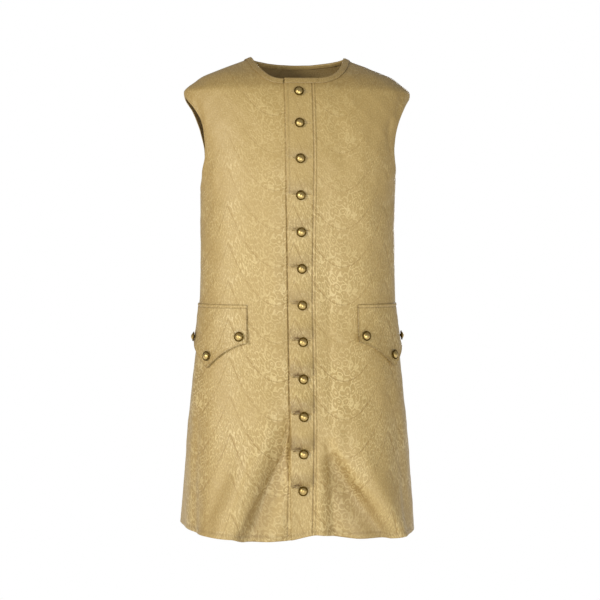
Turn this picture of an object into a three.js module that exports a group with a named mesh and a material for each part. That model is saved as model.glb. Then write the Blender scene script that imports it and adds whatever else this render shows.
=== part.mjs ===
// Long waistcoat of the eighteenth-century cut, buttoned down the front and filled out as when worn.
// Millimetres, +Z up. The front faces -Y and the wearer's left side is +X.
// The origin lies between the shoulder seams, where the wearer's shoulders carry the garment.

import * as THREE from 'three';

// ---------------------------------------------------------------- driving dimensions
const WALL = 2; // brocade and its interlining, as one wall
const SEAM_GAP = 0.4; // clear space between two pieces that are sewn edge to edge
const SEAT_GAP = 0.4; // clear space under a piece that lies on a panel

const NECK_POINT = { x: 98, z: 29 }; // where the shoulder seam meets the neck edge
const SHOULDER_TIP = { z: -46 };
const NECK_PIT = -24; // height of the neck edge at the centre front
const NAPE = 20; // height of the neck edge at the centre back
const UNDERARM = -262;
const HEM = -947;
const SIDE_SEAM = 98; // degrees round from the centre front

const LAP = 28; // each front reaches this far past the button line
const LAP_EASE = 16; // width over which a lapped front comes back to the common surface
const SWAY_FADE = 60; // width beside the lap over which its sway dies out
const OVER_LIFT = 1.3; // the left front lies this far out over the lap
const UNDER_DROP = -1.1; // and the right front this far in under it

const BUTTON_RADIUS = 10;
const BUTTON_COUNT = 12;
const FIRST_BUTTON = -52;
const BUTTON_PITCH = 74;
const UPPER_PITCHES = [65, 72]; // the first two gaps are shorter

const BAND_WIDTH = 13;
const BAND_WALL = 1.4;

const FLAP_TOP = -484;
const FLAP_CORNER = -562; // height of its two lower corners
const FLAP_POINT = -614; // height of its middle point
const FLAP_FRONT = 112; // distance of its front edge from the button line
const FLAP_HALF_WIDTH = 89; // half its width, along the cloth
const FLAP_SCALLOP = 1.6; // how hollow its lower edge is between the points

// ---------------------------------------------------------------- tables
function table(names, rows) {
  const columns = names.split(' ');
  return rows.map((row) => Object.fromEntries(columns.map((name, i) => [name, row[i]])));
}

// Level sections of the garment, from the neck down: half width to the side, depth to the front
// and to the back, the superellipse power that squares the section, and the sway of the front edge.
const RINGS = table('z side front back power sway', [
  [31, 94, 12, 54, 2.0, -7],
  [25, 107, 24, 61, 2.0, -7],
  [10, 146, 46, 73, 2.0, -7],
  [-2, 176, 62, 81, 2.0, -7],
  [-12, 199, 74, 88, 2.0, -7],
  [-22, 213, 83, 94, 2.05, -7],
  [-46, 238, 98, 106, 2.1, -7],
  [-100, 230, 113, 117, 2.25, -7],
  [-150, 217, 121, 122, 2.4, -6.5],
  [-210, 208, 126, 122, 2.5, -6],
  [-270, 203.5, 126, 118, 2.5, -5.5],
  [-380, 203, 121, 107, 2.5, -3.5],
  [-479, 205, 118, 104, 2.5, -2],
  [-580, 213, 127, 117, 2.45, -1],
  [-689, 225, 141, 136, 2.4, -1],
  [-794, 234, 153, 149, 2.35, -2],
  [-899, 241, 165, 160, 2.3, -3.5],
  [-960, 245, 172, 166, 2.3, -4.5],
]);

// Neck edge of a front from the button extension to the neck point, seen from the front.
const FRONT_NECK = table('t x z', [
  [0.0, LAP, NECK_PIT],
  [0.2, 46, -22.5],
  [0.4, 62, -17.5],
  [0.6, 76, -7],
  [0.8, 88, 9],
  [1.0, NECK_POINT.x, NECK_POINT.z],
]);

// Neck edge of half the back, from the nape to the neck point.
const BACK_NECK = table('t angle z', [
  [0.0, 180, NAPE],
  [0.25, 157, 20.5],
  [0.5, 134, 22.5],
  [0.75, 112, 25.5],
  [1.0, 90, NECK_POINT.z],
]);

// Armhole edge of the front and of the back, from the underarm to the shoulder tip.
const ARMHOLE = table('t front back z', [
  [0.0, SIDE_SEAM, SIDE_SEAM, UNDERARM],
  [0.12, 91, 103.5, -257],
  [0.25, 83, 107.5, -239],
  [0.4, 76, 109, -204],
  [0.55, 72.5, 109, -165],
  [0.7, 73, 107, -126],
  [0.85, 78.5, 101.5, -82],
  [1.0, 90, 90, SHOULDER_TIP.z],
]);

// Largest folds. Each runs from a top angle and height to a foot, widens on its way, and is as
// deep as given at its foot: outward is positive. A high flatness gives a flat floor or crest.
const FOLDS = table('topAngle topZ footAngle footZ topHalf footHalf depth flatness', [
  [5, -700, 6, HEM, 10, 50, -42, 3.4], // the closed fronts hang straight between the flares
  [-30, -640, -42, HEM, 10, 22, 17, 2], // right front's flare
  [34, -680, 60, HEM, 10, 20, 8, 2], // left front's flare
  [-74, -620, -80, HEM, 14, 22, -8, 2],
  [118, -640, 122, HEM, 14, 24, 10, 2],
  [150, -560, 146, HEM, 10, 22, -14, 2],
  [181, -600, 186, HEM, 14, 26, 14, 2],
  [214, -580, 222, HEM, 12, 22, -15, 2],
  [248, -640, 250, HEM, 12, 22, 9, 2],
]);

// Turned profile of a button: a shank, a raised rim and a dome, from the cloth outwards.
const BUTTON_PROFILE = table('radius height', [
  [0, 0],
  [0.3, 0],
  [0.3, 0.22],
  [0.92, 0.24],
  [1, 0.36],
  [0.9, 0.46],
  [0.66, 0.64],
  [0.34, 0.76],
  [0, 0.8],
]);

// ---------------------------------------------------------------- curves through a table
// Monotone cubic through the rows of a table, so a smooth curve never overshoots its rows.
function curve(rows, key, name) {
  const up = rows[0][key] < rows[rows.length - 1][key] ? rows : [...rows].reverse();
  const x = up.map((row) => row[key]);
  const y = up.map((row) => row[name]);
  const rise = x.slice(1).map((value, i) => (y[i + 1] - y[i]) / (value - x[i]));
  const slope = x.map((value, i) => {
    if (i === 0) return rise[0];
    if (i === x.length - 1) return rise[i - 1];
    const turns = rise[i - 1] * rise[i] <= 0;
    return turns ? 0 : (2 * rise[i - 1] * rise[i]) / (rise[i - 1] + rise[i]);
  });
  return (at) => {
    const where = Math.min(Math.max(at, x[0]), x[x.length - 1]);
    const i = Math.max(0, x.findLastIndex((value, k) => k < x.length - 1 && value <= where));
    const h = x[i + 1] - x[i];
    const s = (where - x[i]) / h;
    const a = (1 + 2 * s) * (1 - s) ** 2;
    const b = s * (1 - s) ** 2;
    const c = s * s * (3 - 2 * s);
    const d = s * s * (s - 1);
    return a * y[i] + b * h * slope[i] + c * y[i + 1] + d * h * slope[i + 1];
  };
}

function curves(rows, key, names) {
  return Object.fromEntries(names.split(' ').map((name) => [name, curve(rows, key, name)]));
}

const ring = curves(RINGS, 'z', 'side front back power sway');
const frontNeck = curves(FRONT_NECK, 't', 'x z');
const backNeck = curves(BACK_NECK, 't', 'angle z');
const armhole = curves(ARMHOLE, 't', 'front back z');

const radians = THREE.MathUtils.degToRad;
const degrees = THREE.MathUtils.radToDeg;
const mix = THREE.MathUtils.lerp;

function smooth(value) {
  const s = Math.min(Math.max(value, 0), 1);
  return s * s * (3 - 2 * s);
}

// ---------------------------------------------------------------- form of the worn garment
// Distance from the axis to the level section at a height: a superellipse with its own depths
// to the front and to the back.
function reach(angle, z) {
  const across = Math.abs(Math.sin(radians(angle))) / ring.side(z);
  const along = Math.cos(radians(angle));
  const depth = Math.abs(along) / (along > 0 ? ring.front(z) : ring.back(z));
  const power = ring.power(z);
  return (across ** power + depth ** power) ** (-1 / power);
}

function foldDepth(angle, z) {
  let depth = 0;
  for (const fold of FOLDS) {
    const t = Math.min((fold.topZ - z) / (fold.topZ - fold.footZ), 1);
    if (t <= 0) continue;
    const middle = mix(fold.topAngle, fold.footAngle, t);
    const half = mix(fold.topHalf, fold.footHalf, t);
    const turn = THREE.MathUtils.euclideanModulo(angle - middle + 180, 360) - 180;
    const across = Math.min(Math.abs(turn) / half, 1);
    depth += fold.depth * t ** 1.5 * (1 - across ** fold.flatness) ** 2;
  }
  return depth;
}

// Point of the garment's outer face at an angle (degrees from the centre front, left positive).
function skin(angle, z) {
  const radius = reach(angle, z) + foldDepth(angle, z);
  return new THREE.Vector3(radius * Math.sin(radians(angle)), -radius * Math.cos(radians(angle)), z);
}

function partials(angle, z) {
  const turn = skin(angle + 0.25, z).sub(skin(angle - 0.25, z)).multiplyScalar(2);
  const rise = skin(angle, z + 0.5).sub(skin(angle, z - 0.5));
  return { turn, rise };
}

function outward(angle, z) {
  const { turn, rise } = partials(angle, z);
  return turn.cross(rise).normalize();
}

// Angle at which the front lies at a given distance to the side of the button line. The sway of
// the front edge dies out towards the sides.
function angleAt(x, z) {
  const across = x + ring.sway(z) * (1 - smooth((Math.abs(x) - LAP) / SWAY_FADE));
  const power = ring.power(z);
  const share = Math.min(Math.abs(across) / ring.side(z), 1);
  return degrees(Math.atan2(across, ring.front(z) * (1 - share ** power) ** (1 / power)));
}

// Angle reached by going a distance along the cloth, at one height, from a starting angle.
function angleAlong(start, distance, z) {
  const step = 0.5 * Math.sign(distance);
  let angle = start;
  let gone = 0;
  let point = skin(angle, z);
  while (gone < Math.abs(distance)) {
    const next = skin(angle + step, z);
    gone += next.distanceTo(point);
    angle += step;
    point = next;
  }
  return angle;
}

// ---------------------------------------------------------------- cloth as a closed wall
// A sheet is a list of nodes {angle, z, out} and a list of quads; its wall runs inward by its
// thickness, and every edge that only one quad uses gets a rim.
function clothWall(nodes, quads, wall) {
  const points = [];
  for (const depth of [0, wall]) {
    for (const node of nodes) {
      const lift = outward(node.angle, node.z).multiplyScalar(node.out - depth);
      points.push(...skin(node.angle, node.z).add(lift).toArray());
    }
  }
  const count = nodes.length;
  const faces = [];
  const edges = new Set();
  for (const quad of quads) {
    const corners = quad.filter((corner, i) => corner !== quad[(i + 1) % quad.length]);
    for (let i = 1; i < corners.length - 1; i += 1) {
      faces.push(corners[0], corners[i], corners[i + 1]);
      faces.push(corners[0] + count, corners[i + 1] + count, corners[i] + count);
    }
    corners.forEach((corner, i) => edges.add(`${corner} ${corners[(i + 1) % corners.length]}`));
  }
  for (const edge of edges) {
    const [from, to] = edge.split(' ').map(Number);
    if (edges.has(`${to} ${from}`)) continue;
    faces.push(from, from + count, to, to, from + count, to + count);
  }
  const geometry = new THREE.BufferGeometry();
  geometry.setAttribute('position', new THREE.Float32BufferAttribute(points, 3));
  geometry.setIndex(faces);
  geometry.computeVertexNormals();
  return geometry;
}

// Rows of a panel from the hem to the shoulder seam: body rows up to the underarm, chest rows up
// to the middle of the neck, and neck rows from there along the neck edge.
const BODY_ROWS = 22;
const ARM_ROWS = 14;

function rowHeights(neckRows, middle) {
  const chestRows = ARM_ROWS - neckRows;
  const rows = [];
  for (let i = 0; i <= BODY_ROWS; i += 1) {
    const z = mix(HEM, UNDERARM, i / BODY_ROWS);
    rows.push({ edge: z, seam: z, arm: 0, neck: 0 });
  }
  for (let i = 1; i <= ARM_ROWS; i += 1) {
    const arm = i / ARM_ROWS;
    const neck = Math.max(0, (i - chestRows) / neckRows);
    const edge = mix(UNDERARM, middle, Math.min(i / chestRows, 1));
    rows.push({ edge, seam: armhole.z(arm), arm, neck });
  }
  return rows;
}

const FRONT_COLUMNS = 13;
const BACK_COLUMNS = 13;
const LAP_SPACES = [LAP, LAP / 3, -LAP / 3, -LAP];
const FRONT_NECK_ROWS = 5;
const BACK_NECK_ROWS = 4;

// Half a seam gap, as an angle at a seam.
function seamAngle(angle, z) {
  return degrees(SEAM_GAP / 2 / reach(angle, z));
}

// A front: the lapped strip, in level rows, and the main panel from there to the side seam, the
// armhole and the shoulder seam. side is 1 for the wearer's left, -1 for the right.
function frontPanel(side, lift) {
  const nodes = [];
  const quads = [];
  const rows = rowHeights(FRONT_NECK_ROWS, NECK_PIT);
  const width = LAP_SPACES.length - 1 + FRONT_COLUMNS;
  const ease = (x) => lift * (1 - smooth((x - LAP) / LAP_EASE));
  const names = rows.map((row) => {
    const first = row.neck > 0 ? LAP_SPACES.length - 1 : 0;
    const inner = row.neck > 0 ? { x: frontNeck.x(row.neck), z: frontNeck.z(row.neck) } : { x: LAP, z: row.edge };
    const atNeckPoint = row.neck === 1;
    const seamEdge = armhole.front(row.arm);
    const outer = seamEdge - seamAngle(seamEdge, row.seam);
    const start = atNeckPoint ? 90 - seamAngle(90, inner.z) : side * angleAt(side * inner.x, inner.z);
    const line = [];
    for (let column = 0; column <= width; column += 1) {
      if (column < first) {
        line.push(-1);
        continue;
      }
      const strip = LAP_SPACES.length - 1 - column;
      if (strip > 0) {
        const x = -LAP_SPACES[LAP_SPACES.length - 1 - strip];
        nodes.push({ angle: angleAt(side * x, row.edge), z: row.edge, out: lift });
      } else {
        const t = -strip / FRONT_COLUMNS;
        const angle = mix(start, outer, t);
        const z = mix(inner.z, row.seam, t);
        const across = Math.abs(skin(side * angle, z).x - ring.sway(z));
        nodes.push({ angle: side * angle, z, out: t === 0 && row.neck === 0 ? lift : ease(across) });
      }
      line.push(nodes.length - 1);
    }
    return line;
  });
  for (let r = 0; r < rows.length - 1; r += 1) {
    for (let c = 0; c < width; c += 1) {
      const quad = [names[r][c], names[r][c + 1], names[r + 1][c + 1], names[r + 1][c]];
      if (quad.includes(-1)) continue;
      quads.push(side > 0 ? quad : quad.reverse());
    }
  }
  return clothWall(nodes, quads, WALL);
}

// The back: two halves that share the centre column up to the nape.
function backPanel() {
  const nodes = [];
  const quads = [];
  const rows = rowHeights(BACK_NECK_ROWS, NAPE);
  const centre = rows.map(() => -1);
  for (const side of [1, -1]) {
    const names = rows.map((row, r) => {
      const inner = row.neck > 0 ? { angle: backNeck.angle(row.neck), z: backNeck.z(row.neck) } : { angle: 180, z: row.edge };
      const seamEdge = armhole.back(row.arm);
      const outer = seamEdge + seamAngle(seamEdge, row.seam);
      const start = row.neck === 1 ? 90 + seamAngle(90, inner.z) : inner.angle;
      const line = [];
      for (let column = 0; column <= BACK_COLUMNS; column += 1) {
        const t = column / BACK_COLUMNS;
        const shared = column === 0 && row.neck === 0;
        if (shared && centre[r] >= 0) {
          line.push(centre[r]);
          continue;
        }
        nodes.push({ angle: side * mix(start, outer, t), z: mix(inner.z, row.seam, t), out: 0 });
        line.push(nodes.length - 1);
        if (shared) centre[r] = nodes.length - 1;
      }
      return line;
    });
    for (let r = 0; r < rows.length - 1; r += 1) {
      for (let c = 0; c < BACK_COLUMNS; c += 1) {
        const quad = [names[r][c], names[r][c + 1], names[r + 1][c + 1], names[r + 1][c]];
        quads.push(side > 0 ? quad.reverse() : quad);
      }
    }
  }
  return clothWall(nodes, quads, WALL);
}

// ---------------------------------------------------------------- neck band
// Moves over the cloth by a distance, square to a given direction of travel and to the right of it.
function sideStep(angle, z, travel, distance) {
  const { turn, rise } = partials(angle, z);
  const normal = turn.clone().cross(rise).normalize();
  const step = travel.clone().cross(normal).normalize().multiplyScalar(distance);
  const a = turn.dot(turn);
  const b = turn.dot(rise);
  const c = rise.dot(rise);
  const p = step.dot(turn);
  const q = step.dot(rise);
  const scale = 1 / (a * c - b * b);
  return { angle: angle + (p * c - q * b) * scale, z: z + (q * a - p * b) * scale };
}

const BAND_STEPS = 9; // along each of the four quarters of the neck edge
const BAND_LAP_STEPS = 3; // along the strip that laps the button line
const BAND_COLUMNS = 2;

// Neck edge once round, from the left front's edge on top of the lap, over the left shoulder,
// round the back and down to where the right front goes under the lap.
function neckPath() {
  const path = [];
  for (let i = 0; i < BAND_LAP_STEPS; i += 1) {
    const x = mix(-LAP, LAP, i / BAND_LAP_STEPS);
    path.push({ angle: angleAt(x, NECK_PIT), z: NECK_PIT, out: OVER_LIFT });
  }
  const leftFront = [];
  const leftBack = [];
  for (let i = 0; i <= BAND_STEPS; i += 1) {
    const t = i / BAND_STEPS;
    const z = frontNeck.z(t);
    const x = frontNeck.x(t);
    leftFront.push({ x, z, t });
    leftBack.push({ angle: backNeck.angle(1 - t), z: backNeck.z(1 - t) });
  }
  const rise = (x, lift) => lift * (1 - smooth((x - LAP) / LAP_EASE));
  leftFront.forEach(({ x, z, t }) => {
    path.push({ angle: t === 1 ? 90 : angleAt(x, z), z, out: rise(x, OVER_LIFT) });
  });
  leftBack.slice(1).forEach(({ angle, z }) => path.push({ angle, z, out: 0 }));
  [...leftBack].reverse().slice(1).forEach(({ angle, z }) => path.push({ angle: 360 - angle, z, out: 0 }));
  [...leftFront].reverse().slice(1).forEach(({ x, z }) => {
    const clear = Math.max(x, LAP + 1);
    path.push({ angle: 360 + angleAt(-clear, z), z, out: rise(clear, UNDER_DROP) });
  });
  return path;
}

function neckBand() {
  const path = neckPath();
  const nodes = [];
  const quads = [];
  path.forEach((place, i) => {
    const before = path[Math.max(i - 1, 0)];
    const after = path[Math.min(i + 1, path.length - 1)];
    const travel = skin(after.angle, after.z).sub(skin(before.angle, before.z));
    for (let c = 0; c <= BAND_COLUMNS; c += 1) {
      const across = 0.2 + (BAND_WIDTH * c) / BAND_COLUMNS;
      const spot = sideStep(place.angle, place.z, travel, across);
      nodes.push({ ...spot, out: place.out + SEAT_GAP + BAND_WALL });
    }
  });
  const wide = BAND_COLUMNS + 1;
  for (let i = 0; i < path.length - 1; i += 1) {
    for (let c = 0; c < BAND_COLUMNS; c += 1) {
      const at = i * wide + c;
      quads.push([at, at + 1, at + wide + 1, at + wide]);
    }
  }
  return clothWall(nodes, quads, BAND_WALL);
}

// ---------------------------------------------------------------- pocket flaps
const FLAP_COLUMNS = 18;
const FLAP_ROWS = 5;

function flapFoot(share) {
  const fromPoint = Math.abs(share * 2 - 1);
  return mix(FLAP_CORNER, FLAP_POINT, (1 - fromPoint) ** FLAP_SCALLOP);
}

// Angle of a place on the flap: share runs from its front edge to its back edge.
function flapAngle(side, share, z) {
  const start = angleAt(side * FLAP_FRONT, z);
  return angleAlong(start, side * share * 2 * FLAP_HALF_WIDTH, z);
}

function pocketFlap(side) {
  const nodes = [];
  const quads = [];
  for (let r = 0; r <= FLAP_ROWS; r += 1) {
    for (let c = 0; c <= FLAP_COLUMNS; c += 1) {
      const share = c / FLAP_COLUMNS;
      const z = mix(flapFoot(share), FLAP_TOP, r / FLAP_ROWS);
      nodes.push({ angle: flapAngle(side, share, z), z, out: SEAT_GAP + WALL });
    }
  }
  const wide = FLAP_COLUMNS + 1;
  for (let r = 0; r < FLAP_ROWS; r += 1) {
    for (let c = 0; c < FLAP_COLUMNS; c += 1) {
      const at = r * wide + c;
      const quad = [at, at + 1, at + wide + 1, at + wide];
      quads.push(side > 0 ? quad : quad.reverse());
    }
  }
  return clothWall(nodes, quads, WALL);
}

// ---------------------------------------------------------------- buttons
const BUTTON_SIDES = 12;

function buttonHeights() {
  const heights = [FIRST_BUTTON];
  for (let i = 1; i < BUTTON_COUNT; i += 1) {
    heights.push(heights[i - 1] - (UPPER_PITCHES[i - 1] ?? BUTTON_PITCH));
  }
  return heights;
}

function button(name, angle, z, out) {
  const profile = BUTTON_PROFILE.map(
    ({ radius, height }) => new THREE.Vector2(radius * BUTTON_RADIUS, height * BUTTON_RADIUS),
  );
  const mesh = new THREE.Mesh(new THREE.LatheGeometry(profile, BUTTON_SIDES), brass.clone());
  const axis = outward(angle, z);
  mesh.name = name;
  mesh.position.copy(skin(angle, z)).addScaledVector(axis, out + SEAT_GAP);
  mesh.quaternion.setFromUnitVectors(new THREE.Vector3(0, 1, 0), axis);
  return mesh;
}

// Places of the three buttons on a flap: share of its width and distance above its lower edge.
const FLAP_BUTTONS = table('share above', [
  [0.09, 17],
  [0.5, 25],
  [0.86, 15],
]);

// ---------------------------------------------------------------- assembly
const brocade = new THREE.MeshStandardMaterial({ color: 0xc3aa6e, roughness: 0.6, metalness: 0 });
const brass = new THREE.MeshStandardMaterial({ color: 0x9c7c3a, roughness: 0.35, metalness: 1 });

function cloth(name, geometry) {
  const mesh = new THREE.Mesh(geometry, brocade.clone());
  mesh.name = name;
  return mesh;
}

const group = new THREE.Group();
group.add(cloth('front_left', frontPanel(1, OVER_LIFT)));
group.add(cloth('front_right', frontPanel(-1, UNDER_DROP)));
group.add(cloth('back', backPanel()));
group.add(cloth('neck_band', neckBand()));

for (const [name, side] of [['left', 1], ['right', -1]]) {
  group.add(cloth(`pocket_flap_${name}`, pocketFlap(side)));
  FLAP_BUTTONS.forEach(({ share, above }, i) => {
    const z = flapFoot(share) + above;
    const spot = flapAngle(side, share, z);
    group.add(button(`flap_button_${name}_${i + 1}`, spot, z, SEAT_GAP + WALL));
  });
}

buttonHeights().forEach((z, i) => {
  const name = `front_button_${String(i + 1).padStart(2, '0')}`;
  group.add(button(name, angleAt(0, z), z, OVER_LIFT));
});

export default group;
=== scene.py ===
"""Long waistcoat of the eighteenth-century cut: brocade panels, sewing and turned buttons.

Shapes are worked out in millimetres, +Z up, the front facing -Y and the wearer's left at +X,
and become metres when a mesh is made.
"""
import math
from types import SimpleNamespace

import bpy
import numpy as np
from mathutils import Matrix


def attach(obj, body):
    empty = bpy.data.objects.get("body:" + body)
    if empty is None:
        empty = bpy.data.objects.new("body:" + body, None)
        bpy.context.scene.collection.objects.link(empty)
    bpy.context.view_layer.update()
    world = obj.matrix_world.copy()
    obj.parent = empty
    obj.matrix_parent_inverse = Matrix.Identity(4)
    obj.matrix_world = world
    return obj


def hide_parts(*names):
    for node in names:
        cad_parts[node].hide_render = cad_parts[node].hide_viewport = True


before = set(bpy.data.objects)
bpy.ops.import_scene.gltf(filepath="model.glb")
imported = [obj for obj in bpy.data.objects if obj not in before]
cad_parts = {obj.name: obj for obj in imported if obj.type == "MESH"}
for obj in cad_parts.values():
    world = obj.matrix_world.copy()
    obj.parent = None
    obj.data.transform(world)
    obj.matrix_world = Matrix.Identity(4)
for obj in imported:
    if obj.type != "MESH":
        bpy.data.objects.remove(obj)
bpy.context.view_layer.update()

bl_info = {
    "name": "Long waistcoat",
    "version": (1, 0, 0),
    "blender": (4, 5, 0),
    "location": "View3D > Sidebar > Waistcoat",
    "description": "Builds a buttoned long waistcoat: cloth, pocket flaps, buttons and sewing",
    "category": "Mesh",
}

MM = 0.001

# ------------------------------------------------------------------ sizes of the garment
WALL = 2.0
SEAT_GAP = 0.4
HEM = -947.0
HEM_STITCH = 9.0
UNDERARM = -262.0
ARM_STITCH = 6.0
NECK_PIT = -24.0
NAPE = 20.0
SIDE_SEAM = 98.0
LAP = 28.0
LAP_EASE = 16.0
SWAY_FADE = 60.0
FAR = 1000.0
OVER_LIFT = 1.3
UNDER_DROP = -1.1
BUTTON_STEPS = [65, 72] + [74] * 9
FIRST_BUTTON = -52.0
BUTTON_HEIGHTS = FIRST_BUTTON - np.concatenate([[0], np.cumsum(BUTTON_STEPS)])
FLAP_TOP = -484.0
FLAP_STITCH = 6.5
FLAP_CORNER = -562.0
FLAP_POINT = -614.0
FLAP_FRONT = 112.0
FLAP_WIDTH = 178.0
FLAP_SCALLOP = 1.6
FLAP_BUTTONS = ((0.09, 17.0), (0.5, 25.0), (0.86, 15.0))  # share of the width, height over the foot


# ------------------------------------------------------------------ tables and curves
def monotone(x, y):
    """Monotone cubic through points: an inner slope is the harmonic mean of the rises beside it,
    and none where the curve turns, so it never passes beyond its points."""
    if x[0] > x[-1]:
        x, y = x[::-1], y[::-1]
    rise = np.diff(y) / np.diff(x)
    before, after = rise[:-1], rise[1:]
    turns = before * after <= 0
    inner = np.where(turns, 0, 2 * before * after / np.where(turns, 1, before + after))
    slope = np.concatenate([rise[:1], inner, rise[-1:]])

    def at(value):
        where = np.clip(value, x[0], x[-1])
        i = np.clip(np.searchsorted(x, where, side="right") - 1, 0, len(x) - 2)
        h = x[i + 1] - x[i]
        s = (where - x[i]) / h
        low = (1 + 2 * s) * (1 - s) ** 2 * y[i] + s * (1 - s) ** 2 * h * slope[i]
        return low + s * s * (3 - 2 * s) * y[i + 1] + s * s * (s - 1) * h * slope[i + 1]

    return at


def table(names, rows):
    """Named columns of a table, as arrays."""
    return SimpleNamespace(**dict(zip(names.split(), np.array(rows, float).T)))


def curves(names, rows):
    """Monotone curves through the columns of a table, over its first column."""
    over, *columns = np.array(rows, float).T
    made = [monotone(over, column) for column in columns]
    return SimpleNamespace(**dict(zip(names.split()[1:], made)))


def mix(a, b, t):
    return a + (b - a) * t


def smooth(value):
    """3s² - 2s³ of the value held between 0 and 1."""
    s = np.clip(value, 0, 1)
    return s * s * (3 - 2 * s)


def bell(value, middle, half):
    """exp(-((value - middle) / half)²)."""
    return np.exp(-(((value - middle) / half) ** 2))


def unit(vectors):
    return vectors / np.linalg.norm(vectors, axis=-1, keepdims=True)


def travelled(points, axis=0):
    """Distance gone at each point of a path, from its start."""
    steps = np.linalg.norm(np.diff(points, axis=axis), axis=-1)
    return np.insert(np.cumsum(steps, axis=axis), 0, 0, axis=axis)


# Level sections: half width, depths to front and back, superellipse power, sway of the front edge.
RING = curves("z side front back power sway", [
    (31, 94, 12, 54, 2.0, -7), (25, 107, 24, 61, 2.0, -7), (10, 146, 46, 73, 2.0, -7),
    (-2, 176, 62, 81, 2.0, -7), (-12, 199, 74, 88, 2.0, -7), (-22, 213, 83, 94, 2.05, -7),
    (-46, 238, 98, 106, 2.1, -7), (-100, 230, 113, 117, 2.25, -7),
    (-150, 217, 121, 122, 2.4, -6.5), (-210, 208, 126, 122, 2.5, -6),
    (-270, 203.5, 126, 118, 2.5, -5.5), (-380, 203, 121, 107, 2.5, -3.5),
    (-479, 205, 118, 104, 2.5, -2), (-580, 213, 127, 117, 2.45, -1),
    (-689, 225, 141, 136, 2.4, -1), (-794, 234, 153, 149, 2.35, -2),
    (-899, 241, 165, 160, 2.3, -3.5), (-960, 245, 172, 166, 2.3, -4.5),
])

# Neck edge of a front, seen from the front, and of half the back.
FRONT_NECK = curves("t x z", [
    (0, 28, -24), (0.2, 46, -22.5), (0.4, 62, -17.5), (0.6, 76, -7), (0.8, 88, 9), (1, 98, 29),
])
BACK_NECK = curves("t angle z", [
    (0, 180, 20), (0.25, 157, 20.5), (0.5, 134, 22.5), (0.75, 112, 25.5), (1, 90, 29),
])

# Armhole edge of the front and of the back, from the underarm to the shoulder tip.
ARMHOLE = curves("t front back z", [
    (0, 98, 98, -262), (0.12, 91, 103.5, -257), (0.25, 83, 107.5, -239), (0.4, 76, 109, -204),
    (0.55, 72.5, 109, -165), (0.7, 73, 107, -126), (0.85, 78.5, 101.5, -82), (1, 90, 90, -46),
])

# Largest folds of the skirt: top angle and height, foot angle and height, half widths, depth at
# the foot (outward is positive) and flatness.
FOLDS = [
    (5, -700, 6, HEM, 10, 50, -42, 3.4), (-30, -640, -42, HEM, 10, 22, 17, 2),
    (34, -680, 60, HEM, 10, 20, 8, 2), (-74, -620, -80, HEM, 14, 22, -8, 2),
    (118, -640, 122, HEM, 14, 24, 10, 2), (150, -560, 146, HEM, 10, 22, -14, 2),
    (181, -600, 186, HEM, 14, 26, 14, 2), (214, -580, 222, HEM, 12, 22, -15, 2),
    (248, -640, 250, HEM, 12, 22, 9, 2),
]

# Folds that open at the hem: three points (distance from the button line, height),
# depth (outward is positive), and half widths towards the wearer's right and left. Distances to
# the wearer's left are positive.
FRONT_TROUGHS = [
    (-16, -690, -54, -822, -111, -950, -28, 40, 30),
    (-62, -716, -116, -830, -196, -950, 5, 36, 26),
    (48, -748, 58, -850, 68, -950, -13, 13, 60),
    (30, -760, 34, -860, 40, -950, 2.5, 12, 10),
    (58, -780, 98, -860, 180, -950, -25, 36, 28),
    (118, -760, 160, -860, 226, -950, 4, 26, 26),
    (-150, -760, -196, -850, -222, -950, 3, 24, 20),
    (206, -690, 232, -830, 246, -950, -6, 20, 26),
    (-232, -700, -250, -830, -264, -950, -6, 22, 18),
]
BACK_TROUGHS = [
    (-92, -640, -108, -790, -130, -950, -12, 14, 17),
    (86, -620, 102, -780, 128, -950, -14, 18, 13),
    (-8, -660, 4, -800, 12, -950, 7, 18, 16),
    (188, -640, 206, -790, 232, -950, -9, 16, 13),
    (-196, -660, -214, -800, -236, -950, -8, 12, 17),
]

# Soft creases: the same columns, dying away at both ends.
FRONT_CREASES = [
    (58, -360, 56, -600, 54, -780, -1.8, 9, 9),
    (70, -640, 74, -800, 84, -940, 1.6, 12, 12),
    (-60, -300, -58, -420, -66, -540, 1.2, 14, 14),
    (232, -36, 226, -70, 214, -100, -2.4, 7, 7),
    (205, -96, 196, -128, 200, -170, -2.0, 8, 8),
    (-222, -60, -212, -100, -214, -140, -1.8, 9, 9),
    (-246, -180, -214, -214, -170, -224, 1.6, 12, 12),
    (246, -184, 214, -218, 170, -232, 1.6, 12, 12),
    (-250, -250, -200, -272, -140, -268, -1.4, 12, 12),
    (250, -256, 204, -280, 150, -284, -1.5, 12, 12),
    (-240, -430, -180, -446, -110, -440, 1.0, 13, 13),
    (240, -424, 186, -440, 118, -438, 1.1, 13, 13),
    (-120, -640, -132, -790, -150, -940, 1.4, 16, 16),
    (190, -640, 204, -790, 214, -940, -1.8, 16, 16),
    (-212, -640, -226, -790, -240, -940, -1.6, 15, 15),
    (-40, -80, -72, -150, -86, -240, -0.9, 16, 16),
    (62, -70, 84, -150, 92, -240, -0.9, 16, 16),
]
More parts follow.
